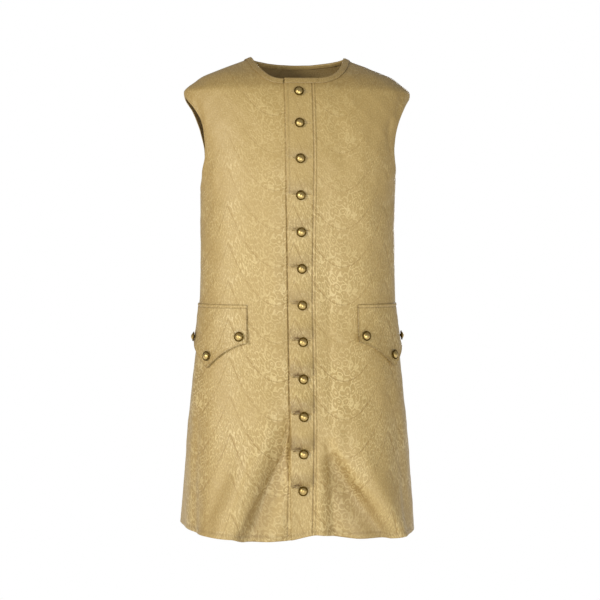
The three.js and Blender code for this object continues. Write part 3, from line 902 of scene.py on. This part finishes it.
def pocket_flap(node, side, axis):
    """A shaped flap, a little fuller between its edges, with its top turned in a welt."""
    edge = EDGE_STEPS / FLAP_WIDTH
    beside = 5 / FLAP_WIDTH
    inner = np.linspace(0, 1, 70)[2:-2]
    share = np.concatenate([edge, [beside], inner, [1 - beside], 1 - edge[::-1]])
    z = np.concatenate([
        mix(flap_foot(share), FLAP_TOP - WELT_ROWS[0], FOOT_ROWS[:, None]),
        np.broadcast_to(FLAP_TOP - WELT_ROWS[1:, None], (len(WELT_ROWS) - 1, len(share))),
    ])
    quads = grid_quads(numbered(z.shape))[:, ::side]
    share, z = np.broadcast_to(share, z.shape).ravel(), z.ravel()
    face, normal, angle = flap_face(side, share, z)
    from_top, from_foot = FLAP_TOP - z, z - flap_foot(share)
    from_side = np.minimum(share, 1 - share) * FLAP_WIDTH
    near = np.minimum(np.minimum(from_top, from_foot * 0.85), from_side)
    half = turned_edge(near, 1.2)
    dent = 0.7 * bell(from_top, FLAP_STITCH, 1.1)
    dent += 0.35 * bell(near, 5.0, 1.2) * (from_top > 9)
    middle = face + normal * (flap_stand(share, z) - WALL / 2)[:, None]
    # painted shade along the stitched line and the top edge, and a painted shadow along the free sides
    # and foot
    painted_shade = 0.3 * bell(from_top, FLAP_STITCH, 1.3) + 0.2 * bell(from_top, 0, 0.8)
    painted_shade += 0.62 * bell(np.minimum(from_side, from_foot), 0, 1.7)
    hung_sheet(node, middle + normal * (half - dent)[:, None], middle - normal * half[:, None],
               quads, pattern_uv(arc(angle, z), z, axis), painted_shade)


# ------------------------------------------------------------------ buttons
# Turned profile, from the shank round the rim and over the dome (radius, height).
BUTTON_PROFILE = [
    (0.0, 0.02), (0.28, 0.02), (0.3, 0.1), (0.3, 0.2), (0.6, 0.17), (0.86, 0.2), (0.96, 0.24),
    (1.0, 0.31), (0.99, 0.38), (0.94, 0.42), (0.88, 0.43), (0.83, 0.4), (0.79, 0.38),
    (0.75, 0.42), (0.66, 0.53), (0.54, 0.63), (0.4, 0.71), (0.26, 0.76), (0.12, 0.79), (0.0, 0.8),
]
BUTTON_RADIUS = 10.0
BUTTON_SIDES = 40


def turned_button(node, place, axis):
    """The profile turned round an axis: (r cos a, r sin a, h) in a frame square to the axis."""
    profile = np.array(BUTTON_PROFILE) * BUTTON_RADIUS
    turn = np.linspace(0, 2 * np.pi, BUTTON_SIDES, endpoint=False)[:, None]
    side = unit(np.cross(axis, [0.0, 0.0, 1.0]))
    around = np.cos(turn) * side + np.sin(turn) * np.cross(side, axis)
    rings = profile[1:-1]
    points = place + rings[:, None, :1] * around[None] + rings[:, None, 1:] * axis
    ends = place + profile[[0, -1], 1:] * axis
    index = numbered((len(rings), BUTTON_SIDES))
    after = np.roll(index, -1, axis=1)
    foot, crown = np.full((2, BUTTON_SIDES), [[index.size], [index.size + 1]])
    first = np.stack([foot, index[0], after[0]], axis=-1)
    last = np.stack([index[-1], crown, after[-1]], axis=-1)
    faces = [face for part in (ring_quads(index), first, last) for face in part[:, ::-1]]
    radius, height = rings.T / BUTTON_RADIUS
    # the dome rubbed bright; the groove dark with tarnish; the rim bead painted dark too, as painted
    # shade, and so are the back and shank
    wear_and_shade = np.where(height > 0.45, 0.9, 0.0) - bell(radius, 0.8, 0.08) * (height > 0.35)
    wear_and_shade = np.concatenate([np.repeat(np.clip(wear_and_shade, 0, 1), BUTTON_SIDES), [0, 0.85]])
    points = np.concatenate([points.reshape(-1, 3), ends])
    make_piece(f"{node}_turned", "brass", node, points, faces, [finish("antique_brass_cast")],
               marks={"wear_and_shade": wear_and_shade})


# ------------------------------------------------------------------ stitches
def stitch_shape():
    """One stitch: a short bar whose section is a low four-sided bow, pinched at both ends."""
    rings = []
    for t, size in ((-0.5, 0.35), (-0.3, 0.9), (0, 1), (0.3, 0.9), (0.5, 0.35)):
        for turn in (0.25, 0.75, 1.25, 1.75):
            rings.append((t, 0.5 * size * math.cos(turn * math.pi),
                          0.5 * size * math.sin(turn * math.pi)))
    faces = []
    for k in range(4):
        for j in range(4):
            a, b = k * 4 + j, k * 4 + (j + 1) % 4
            faces.append((a, b, b + 4, a + 4))
    faces += [(3, 2, 1, 0), (16, 17, 18, 19)]
    return np.array(rings), np.array(faces)


STITCH, STITCH_FACES = stitch_shape()
STITCH_SINK = 0.05
BUTTONHOLE_PITCH = 0.85


def stitch_run(line, pitch, length=0.72, width=0.8, height=0.6):
    """Stitches at an even pitch along a line of points and normals, each turned along it:
    returns points and faces."""
    points, normals = line
    gone = travelled(points)
    count = max(2, int(gone[-1] / pitch))
    at = (np.arange(count) + 0.5) * gone[-1] / count
    place, normal = (
        np.stack([np.interp(at, gone, part[:, k]) for k in range(3)], axis=1)
        for part in (points, normals)
    )
    normal = unit(normal)
    travel = unit(np.gradient(place, axis=0))
    across = unit(np.cross(normal, travel))
    shape = STITCH * np.array([pitch * length, width, height])
    made = (place[:, None] + shape[None, :, :1] * travel[:, None]
            + shape[None, :, 1:2] * across[:, None]
            + (shape[None, :, 2:] - STITCH_SINK) * normal[:, None])
    faces = STITCH_FACES[None] + (np.arange(count) * len(STITCH))[:, None, None]
    return made.reshape(-1, 3), faces.reshape(-1, 4)


def join_runs(runs):
    points, faces = zip(*runs)
    starts = np.cumsum([0] + [len(part) for part in points[:-1]])
    return np.concatenate(points), np.concatenate([f + s for f, s in zip(faces, starts)])


def front_line(x, z, sunk=0.0):
    """A line on the left front's outer face, given from the button line."""
    angle = angle_at(x, z)
    return lifted(angle, z, front_lift(angle, z, 1) - sunk)


def armhole_line(angle, level, relief_of, flip):
    """The stitched line beside an armhole's edge, stepped over the form."""
    a, z = step_over(angle, level, square_to(angle, level) * flip, ARM_STITCH)
    return lifted(a, z, relief_of(a, z))


def sewing_runs():
    """Stitches beside the strip, along the armholes and under the top of each flap."""
    z = np.linspace(NECK_PIT - 13, HEM + 4, 600)
    for x, deep, _, _ in STRIP_LINES:
        yield stitch_run(front_line(x + strip_slip(z), z, deep - 0.1), 3.0, width=0.6)
    arm = np.linspace(0.0, 0.995, 160)
    level = ARMHOLE.z(arm)
    for side in (1, -1):
        front, back = ARMHOLE.front(arm) * side, (ARMHOLE.back(arm) * side) % 360
        yield stitch_run(armhole_line(front, level, front_relief, -side), 3.2)
        yield stitch_run(armhole_line(back, level, back_relief, side), 3.2)
    share = np.linspace(0.02, 0.98, 120)
    high = np.full(share.shape, FLAP_TOP - FLAP_STITCH)
    for side in (1, -1):
        point, normal, _ = flap_face(side, share, high)
        point = point + normal * (flap_stand(share, high) - 0.85)[:, None]
        yield stitch_run((point, normal), 3.0)


def neck_runs():
    """Two lines of stitches along the neck band."""
    angle, level, lift, _ = neck_path()
    across = square_to(angle, level)
    for distance in (11.6, 2.6):
        a, z = step_over(angle, level, across, distance)
        lift_there = lift + worn_relief(a, z) + SEAT_GAP + BAND_WALL + BAND_PUFF / 2
        yield stitch_run(lifted(a, z, lift_there), 3.0)


def buttonhole_runs():
    """Purl stitches round each slit: short bars square to it on both sides, and a bar tack at
    each end."""
    for hole, gape in zip(HOLE_HEIGHTS, HOLES.gape):
        slip = strip_slip(hole)
        for side in (1, -1):
            x = np.linspace(HOLE_LEFT, HOLE_RIGHT, 40) + slip
            line = front_line(x, np.full(x.shape, hole + side * (1.5 + 0.4 * gape)))
            yield stitch_run(line, BUTTONHOLE_PITCH, length=1.0, width=2.2, height=0.9)
        for end in (HOLE_LEFT, HOLE_RIGHT):
            z = np.linspace(hole - 2.4, hole + 2.4, 12)
            line = front_line(np.full(z.shape, end + slip), z)
            yield stitch_run(line, BUTTONHOLE_PITCH, length=1.0, width=2.0, height=1.0)


# ------------------------------------------------------------------ nodes
def linear(code):
    """Linear colour of an sRGB hex code."""
    values = [int(code[i:i + 2], 16) / 255 for i in (1, 3, 5)]
    made = [v / 12.92 if v <= 0.04045 else ((v + 0.055) / 1.055) ** 2.4 for v in values]
    return (*made, 1.0)


def add(tree, kind, inputs=(), **settings):
    """Adds a node, sets its properties, and fills its inputs in order or by name: a node or
    socket is linked, anything else is set."""
    node = tree.nodes.new(kind)
    for key, value in settings.items():
        setattr(node, key, value)
    pairs = inputs.items() if isinstance(inputs, dict) else enumerate(inputs)
    for key, value in pairs:
        if isinstance(value, bpy.types.Node):
            value = value.outputs[0]
        if isinstance(value, bpy.types.NodeSocket):
            tree.links.new(value, node.inputs[key])
        else:
            node.inputs[key].default_value = value
    return node


def calc(tree, operation, *values, **settings):
    return add(tree, "ShaderNodeMath", values, operation=operation, **settings)


def remap(tree, value, start, end, low=0.0, high=1.0, kind="LINEAR"):
    """Carries a value from one span to another, held at its ends."""
    spans = {"Value": value, "From Min": start, "From Max": end, "To Min": low, "To Max": high}
    return add(tree, "ShaderNodeMapRange", spans, interpolation_type=kind)


def blend(tree, factor, a, b):
    """Mixes two colours by a factor held between 0 and 1."""
    made = add(tree, "ShaderNodeMix", {"Factor": factor, "A": a, "B": b}, data_type="RGBA",
               clamp_factor=True)
    return made.outputs[2]


def noise(tree, place, scale, detail=2.0):
    return add(tree, "ShaderNodeTexNoise", {"Vector": place, "Scale": scale, "Detail": detail})


def surface(tree, colour, roughness, grain, strength, depth, more=()):
    """A surface whose grain stands out as a bump of a depth in metres."""
    bump = add(tree, "ShaderNodeBump", {"Strength": strength, "Distance": depth, "Height": grain})
    return add(tree, "ShaderNodeBsdfPrincipled", {
        "Base Color": colour, "Roughness": roughness, "Normal": bump, **dict(more)})


# ------------------------------------------------------------------ materials
SOFT = "SMOOTHSTEP"
SWAG_HANG = 12.6  # a swag hangs this many metres for each square metre from its middle
LINE_HALF = 0.001  # half a swag line's width, in metres
SCROLL = 0.0155  # size of a scroll, in metres
BANDS = 2.5  # bands of curl over one scroll
# colour of the painted shade in the seams, stitched lines, slits, folds and along edges
PAINTED_SHADE_COLOUR = "#5c4212"
THREAD_GLEAM = "#d9c48f"


def brocade(tree, reverse):
    """Satin brocade, jacquard woven: a warp-faced motif on a duller weft ground. Nested swags
    hang between fountain lines, with curls along them and barbs beside the fountains. On the
    reverse the floats change places, so it is duller and plainer."""
    cloth = bpy.context.scene.waistcoat_cloth
    drop = cloth.repeat_height
    place = add(tree, "ShaderNodeUVMap", uv_map="Cloth")
    parts = add(tree, "ShaderNodeSeparateXYZ", [place])
    # distance from the middle of the swag, between two fountain lines
    trough = calc(tree, "WRAP", parts.outputs[0], cloth.repeat_width, 0.0)
    trough = calc(tree, "SUBTRACT", trough, cloth.repeat_width / 2)
    hang = calc(tree, "MULTIPLY", calc(tree, "MULTIPLY", trough, trough), SWAG_HANG)
    turns = calc(tree, "DIVIDE", calc(tree, "SUBTRACT", parts.outputs[1], hang), drop)
    # one thin line along each swag, as wide where it is steep as where it is level
    slope = calc(tree, "MULTIPLY", trough, 2 * SWAG_HANG)
    steep = calc(tree, "SQRT", calc(tree, "MULTIPLY_ADD", slope, slope, 1.0))
    off = calc(tree, "SUBTRACT", calc(tree, "FRACT", turns), 0.5)
    off = calc(tree, "SUBTRACT", 0.5, calc(tree, "ABSOLUTE", off))
    off = calc(tree, "DIVIDE", off, calc(tree, "MULTIPLY", steep, LINE_HALF / drop))
    lines = remap(tree, off, 0.7, 1.6, 1.0, 0.0, SOFT)
    # curls: rings about scattered points that repeat at every drop, bent by a slow noise, so
    # they hang with the swags and draw out into barbs beside the fountain lines
    swing = calc(tree, "MULTIPLY", turns, 2 * math.pi)
    ring_size = drop / SCROLL / (2 * math.pi)
    wave = calc(tree, "MULTIPLY", calc(tree, "COSINE", swing), ring_size)
    other = calc(tree, "MULTIPLY", calc(tree, "SINE", swing), ring_size)
    # distance along the swag, so scrolls keep their size where it is steep
    side = calc(tree, "MULTIPLY", trough, calc(tree, "MULTIPLY_ADD", steep, 0.5, 0.5))
    side = calc(tree, "MULTIPLY", side, 1 / SCROLL)
    rolled = add(tree, "ShaderNodeCombineXYZ", [side, wave, other])
    drift = noise(tree, rolled, 0.9, 1.0)
    cells = add(tree, "ShaderNodeTexVoronoi", {"Vector": rolled, "Scale": 1.15, "Randomness": 0.7})
    field = calc(tree, "MULTIPLY_ADD", drift, 0.7, cells.outputs["Distance"])
    bands = calc(tree, "SINE", calc(tree, "MULTIPLY", field, 2 * math.pi * BANDS))
    motif = remap(tree, bands, 0.0, 0.8, kind=SOFT)
    # patches where the light takes the satin unevenly, and the pattern painted fainter towards the
    # shoulders, where less light catches it: both are painted light in the pattern's strength
    take = remap(tree, noise(tree, place, 9.0), 0.35, 0.62, 0.35, 1.0)
    light_fade = remap(tree, parts.outputs[1], 0.25, 0.65, 1.0, 0.5, SOFT)
    take = calc(tree, "MULTIPLY", take, light_fade)
    motif = calc(tree, "MULTIPLY", motif, take)
    lines = calc(tree, "MULTIPLY", lines, take)
    # slubs and floats, drawn at 3 mm so they show
    grain = remap(tree, noise(tree, place, 330.0), 0.3, 0.7, -0.5, 0.5)
    weight = 0.45 if reverse else 1.0
    ground = linear(cloth.reverse_colour if reverse else cloth.ground_colour)
    light = linear(cloth.reverse_light_colour if reverse else cloth.motif_colour)
    dark = linear(cloth.line_colour)
    strong = calc(tree, "MULTIPLY_ADD", grain, 0.5 * weight, motif)
    depth = calc(tree, "MULTIPLY", lines, 0.45 * weight)
    colour = blend(tree, depth, blend(tree, strong, ground, light), dark)
    # painted shade where the cloth turns away from the eye, standing in for the floats' lost gleam;
    # it darkens towards the line colour, more on the ground than on the motif
    facing = add(tree, "ShaderNodeLayerWeight", {"Blend": 0.5}).outputs["Facing"]
    turned = remap(tree, facing, 0.04, 0.36, 0.0, 0.33)
    keeps = calc(tree, "MULTIPLY_ADD", motif, -0.8, 1.2)
    colour = blend(tree, calc(tree, "MULTIPLY", turned, keeps), colour, dark)
    # painted shade in the seams, stitched lines, slits, folds and along edges, marked on each
    # panel, and painted lighter on the motif
    painted_shade_mark = add(tree, "ShaderNodeAttribute", attribute_name="painted_shade").outputs["Fac"]
    rubbed = calc(tree, "MULTIPLY_ADD", motif, -0.35, 1.05)
    colour = blend(tree, calc(tree, "MULTIPLY", painted_shade_mark, rubbed), colour, linear(PAINTED_SHADE_COLOUR))
    raised = calc(tree, "MULTIPLY_ADD", motif, 1.0, grain)
    sunk = calc(tree, "MULTIPLY_ADD", lines, -1.4, raised)
    return surface(tree, colour, remap(tree, motif, 0.0, 1.0, 0.52, 0.42), sunk, 0.65, 0.0004, {
        "Sheen Weight": 0.06, "Sheen Roughness": 0.4, "Specular IOR Level": 0.7})


def silk_thread(tree):
    """Spun silk sewing thread: a soft sheen and a twist too fine to show, drawn as noise."""
    fibre = noise(tree, add(tree, "ShaderNodeTexCoord").outputs["Object"], 900.0)
    code = bpy.context.scene.waistcoat_cloth.thread_colour
    colour = blend(tree, fibre, linear(code), linear(THREAD_GLEAM))
    return surface(tree, colour, 0.5, fibre, 0.3, 0.0002, {"Sheen Weight": 0.1})


def antique_brass(tree):
    """Cast brass, darkened and rubbed back: brown tarnish in the hollows, bright on the crown, with
    cloudy tarnish and fine scuffs. The rim bead is painted as dark as the hollows, as painted shade."""
    metal = bpy.context.scene.waistcoat_buttons
    place = add(tree, "ShaderNodeTexCoord").outputs["Object"]
    wear_and_shade = add(tree, "ShaderNodeAttribute", attribute_name="wear_and_shade").outputs["Fac"]
    cloud = remap(tree, noise(tree, place, 260.0, 4.0), 0.3, 0.7, -0.25, 0.25)
    rubbed = calc(tree, "ADD", wear_and_shade, cloud, use_clamp=True)
    colour = blend(tree, rubbed, linear(metal.dark_colour), linear(metal.bright_colour))
    rough = remap(tree, rubbed, 0.0, 1.0, 0.62, 0.36)
    return surface(tree, colour, rough, noise(tree, place, 1400.0), 0.25, 0.0002, {"Metallic": 1.0})


def paper_sweep(tree):
    """White paper sweep: matt near the garment, and lit to plain white further off."""
    place = add(tree, "ShaderNodeTexCoord").outputs["Object"]
    parts = add(tree, "ShaderNodeSeparateXYZ", [place])
    flat = add(tree, "ShaderNodeCombineXYZ", [parts.outputs[0], parts.outputs[1], 0.0])
    far = add(tree, "ShaderNodeVectorMath", [flat], operation="LENGTH").outputs["Value"]
    share = remap(tree, far, 0.6, 1.3, 0.6, 1.0, SOFT)
    tone = blend(tree, noise(tree, place, 60.0), linear("#f2f2f0"), linear("#f7f7f6"))
    paper = add(tree, "ShaderNodeBsdfPrincipled", {"Base Color": tone, "Roughness": 0.9})
    glow = add(tree, "ShaderNodeEmission", {"Color": linear("#ffffff"), "Strength": 1.0})
    return add(tree, "ShaderNodeMixShader", [share, paper, glow])


FINISHES = {
    "satin_brocade_face": (brocade, False),
    "satin_brocade_reverse": (brocade, True),
    "antique_brass_cast": (antique_brass,),
    "silk_thread_spun": (silk_thread,),
    "white_paper_sweep": (paper_sweep,),
}


def finish(name):
    """Finds a finish by its plain name, or makes it the first time it is asked for."""
    found = bpy.data.materials.get(name)
    if found:
        return found
    material = bpy.data.materials.new(name)
    material.use_nodes = True
    tree = material.node_tree
    tree.nodes.clear()
    recipe, *choice = FINISHES[name]
    add(tree, "ShaderNodeOutputMaterial", [recipe(tree, *choice)])
    return material


# ------------------------------------------------------------------ settings
def length_setting(name, description, default, **limits):
    return bpy.props.FloatProperty(
        name=name, description=description, default=default, unit="LENGTH", **limits)


def colour_setting(name, place, default):
    return bpy.props.StringProperty(
        name=name, description=f"sRGB colour {place}", default=default)


class WaistcoatCloth(bpy.types.PropertyGroup):
    """Repeat and colours of the brocade."""

    repeat_width: length_setting("Repeat width", "Distance between two fountain lines", 0.2, min=0.05)
    repeat_height: length_setting("Repeat height", "Drop from one swag to the next", 0.077, min=0.02)
    left_axis: length_setting(
        "Left fountain", "Its distance from the buttons, left front", 0.185)
    right_axis: length_setting(
        "Right fountain", "Its distance from the buttons, right front", -0.15)
    ground_colour: colour_setting("Ground", "of the weft ground", "#b1965a")
    motif_colour: colour_setting("Motif", "of the satin motif", "#d0b97e")
    # the line colour is also the painted shade where the cloth turns away from the eye
    line_colour: colour_setting("Line", "in the sunk lines", "#8a6929")
    reverse_colour: colour_setting("Reverse", "of the wrong side", "#a08855")
    reverse_light_colour: colour_setting("Reverse floats", "of the wrong side's floats", "#b39c68")
    thread_colour: colour_setting("Thread", "of the sewing thread", "#a08449")


class WaistcoatButtons(bpy.types.PropertyGroup):
    """Colours of the buttons."""

    # the hollows colour is the tarnish in the groove and also the painted shade on the rim bead
    dark_colour: colour_setting("Hollows", "of the darkened brass", "#5a4516")
    bright_colour: colour_setting("Crown", "of the rubbed brass", "#d4b878")


class WaistcoatStage(bpy.types.PropertyGroup):
    """Camera and floor."""

    distance: length_setting("Camera distance", "From the camera to the garment's axis", 3.0, min=0.5)
    azimuth: bpy.props.FloatProperty(
        name="Camera turn", description="Turn of the camera round the garment",
        default=math.radians(-5.5), unit="ROTATION")
    height: length_setting("Camera height", "Height of the camera", -0.354)
    frame_width: length_setting("Frame width", "Width that the camera sees at the axis", 1.26, min=0.1)
    floor: length_setting("Floor", "Height of the floor under the wearer", -1.45)


# ------------------------------------------------------------------ stage
SENSOR_WIDTH = 36.0
FRAME_SHIFT = (0.0042, -0.099)
WORLD_LIGHT = 0.32
LIGHT_AIM = np.array([0.0, 0.0, -0.45])
# Name, place and size in metres, power in watts, colour.
LIGHTS = (
    ("key_light", (-4.0, -3.4, 0.4), 1.0, 134.0, "#fffaf3"),
    ("fill_light", (0.3, -3.2, -1.2), 1.3, 50.0, "#fffdf8"),
    ("back_light", (0.9, 3.3, 0.3), 1.6, 60.0, "#ffffff"),
)


def set_object(context, name, data, place=(0, 0, 0), turn=(0, 0, 0)):
    """Puts an object of the stage into the scene."""
    made = bpy.data.objects.new(name, data)
    made.location = place
    made.rotation_euler = turn
    context.scene.collection.objects.link(made)
    return made


def set_camera(context, stage):
    lens = bpy.data.cameras.new("camera")
    lens.sensor_width = SENSOR_WIDTH
    lens.lens = SENSOR_WIDTH * stage.distance / stage.frame_width
    lens.shift_x, lens.shift_y = FRAME_SHIFT
    turn = stage.azimuth
    place = (stage.distance * math.sin(turn), -stage.distance * math.cos(turn), stage.height)
    context.scene.camera = set_object(context, "camera", lens, place, (math.pi / 2, 0, turn))
    context.scene.view_settings.view_transform = "Standard"


def set_lights(context):
    for name, place, size, power, tint in LIGHTS:
        lamp = bpy.data.lights.new(name, "AREA")
        lamp.size = size
        lamp.energy = power
        lamp.color = linear(tint)[:3]
        x, y, z = LIGHT_AIM - np.array(place)
        set_object(context, name, lamp, place, (
            math.atan2(math.hypot(x, y), -z), 0, math.atan2(-x, y)))


def set_surroundings(context):
    """White to the eye, and a softer white as a light."""
    world = bpy.data.worlds.new("white_surroundings")
    world.use_nodes = True
    tree = world.node_tree
    tree.nodes.clear()
    path = add(tree, "ShaderNodeLightPath")
    soft, seen = (
        add(tree, "ShaderNodeBackground", {"Color": linear("#ffffff"), "Strength": strength})
        for strength in (WORLD_LIGHT, 1.0)
    )
    both = add(tree, "ShaderNodeMixShader", [path.outputs["Is Camera Ray"], soft, seen])
    add(tree, "ShaderNodeOutputWorld", [both])
    context.scene.world = world


def set_floor(context, height):
    """A round floor: rings of points in metres, with a fan in the middle."""
    rows = np.linspace(0, 8, 17)
    turn = np.linspace(0, 2 * np.pi, 48, endpoint=False)
    points = np.stack([
        np.outer(rows, np.cos(turn)), np.outer(rows, np.sin(turn)),
        np.full((len(rows), len(turn)), height)], axis=-1).reshape(-1, 3)
    index = numbered((len(rows), len(turn)))
    fan = np.stack([np.zeros(len(turn), int), index[1], np.roll(index[1], -1)], axis=-1)
    faces = [list(face) for part in (ring_quads(index[1:]), fan) for face in part]
    mesh = bpy.data.meshes.new("floor")
    mesh.from_pydata(points.tolist(), [], faces)
    mesh.materials.append(finish("white_paper_sweep"))
    set_object(context, "floor", mesh)


# ------------------------------------------------------------------ operators
def both_sides(context):
    """Sign and name of each side, and its fountain line in millimetres."""
    cloth = context.scene.waistcoat_cloth
    return (1, "left", cloth.left_axis / MM), (-1, "right", cloth.right_axis / MM)


class WAISTCOAT_OT_stage(bpy.types.Operator):
    """Sets up the camera, the lights, the white surroundings and the floor"""

    bl_idname = "waistcoat.stage"
    bl_label = "Stage"

    def execute(self, context):
        stage = context.scene.waistcoat_stage
        set_camera(context, stage)
        set_lights(context)
        set_surroundings(context)
        set_floor(context, stage.floor)
        return {"FINISHED"}


class WAISTCOAT_OT_fronts(bpy.types.Operator):
    """Cuts and hangs the two fronts, the left lapped over the right"""

    bl_idname = "waistcoat.fronts"
    bl_label = "Fronts"

    def execute(self, context):
        for side, word, axis in both_sides(context):
            front_panel(f"front_{word}", side, axis)
        return {"FINISHED"}


class WAISTCOAT_OT_back(bpy.types.Operator):
    """Cuts and hangs the back"""

    bl_idname = "waistcoat.back"
    bl_label = "Back"

    def execute(self, context):
        back_panel("back", 0.0)
        return {"FINISHED"}


class WAISTCOAT_OT_neck_band(bpy.types.Operator):
    """Binds the neck edge with a folded strip"""

    bl_idname = "waistcoat.neck_band"
    bl_label = "Neck band"

    def execute(self, context):
        neck_band("neck_band")
        return {"FINISHED"}


class WAISTCOAT_OT_flaps(bpy.types.Operator):
    """Sews on the two pocket flaps"""

    bl_idname = "waistcoat.flaps"
    bl_label = "Pocket flaps"

    def execute(self, context):
        for side, word, axis in both_sides(context):
            pocket_flap(f"pocket_flap_{word}", side, axis)
        return {"FINISHED"}


class WAISTCOAT_OT_buttons(bpy.types.Operator):
    """Turns the twelve front buttons and the six flap buttons"""

    bl_idname = "waistcoat.buttons"
    bl_label = "Buttons"

    def execute(self, context):
        for i, z in enumerate(BUTTON_HEIGHTS):
            seat, axis = lifted(angle_at(0.0, z), z, OVER_LIFT + SEAT_GAP)
            turned_button(f"front_button_{i + 1:02d}", seat, axis)
        for side, word, _ in both_sides(context):
            for i, (share, above) in enumerate(FLAP_BUTTONS):
                z = float(flap_foot(share) + above)
                face, axis, _ = flap_face(side, share, z)
                seat = face + axis * (SEAT_GAP + float(flap_stand(share, z)))
                turned_button(f"flap_button_{word}_{i + 1}", seat, axis)
        return {"FINISHED"}


class WAISTCOAT_OT_sewing(bpy.types.Operator):
    """Works the buttonholes and the visible lines of stitches"""

    bl_idname = "waistcoat.sewing"
    bl_label = "Sewing"

    def execute(self, context):
        for name, runs in (("topstitching", sewing_runs()), ("neck_stitching", neck_runs()),
                           ("buttonholes", buttonhole_runs())):
            make_piece(name, "brocade", None, *join_runs(runs), [finish("silk_thread_spun")])
        return {"FINISHED"}


OPERATORS = (
    WAISTCOAT_OT_stage, WAISTCOAT_OT_fronts, WAISTCOAT_OT_back, WAISTCOAT_OT_neck_band,
    WAISTCOAT_OT_flaps, WAISTCOAT_OT_buttons, WAISTCOAT_OT_sewing,
)


class WAISTCOAT_PT_panel(bpy.types.Panel):
    """Lists the steps and their settings"""

    bl_idname = "WAISTCOAT_PT_panel"
    bl_label = "Waistcoat"
    bl_space_type = "VIEW_3D"
    bl_region_type = "UI"
    bl_category = "Waistcoat"

    def draw(self, context):
        for name in SETTINGS:
            group = getattr(context.scene, name)
            for prop in group.bl_rna.properties:
                if prop.identifier not in {"rna_type", "name"}:
                    self.layout.prop(group, prop.identifier)
        for operator in OPERATORS:
            self.layout.operator(operator.bl_idname)


SETTINGS = {
    "waistcoat_cloth": WaistcoatCloth,
    "waistcoat_buttons": WaistcoatButtons,
    "waistcoat_stage": WaistcoatStage,
}
CLASSES = (*SETTINGS.values(), *OPERATORS, WAISTCOAT_PT_panel)


def register():
    for item in CLASSES:
        bpy.utils.register_class(item)
    for name, group in SETTINGS.items():
        setattr(bpy.types.Scene, name, bpy.props.PointerProperty(type=group))


def unregister():
    for name in SETTINGS:
        delattr(bpy.types.Scene, name)
    for item in reversed(CLASSES):
        bpy.utils.unregister_class(item)


def main():
    """Registers the add-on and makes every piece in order."""
    register()
    for operator in OPERATORS:
        group, name = operator.bl_idname.split(".")
        getattr(getattr(bpy.ops, group), name)()


if __name__ == "__main__":
    main()
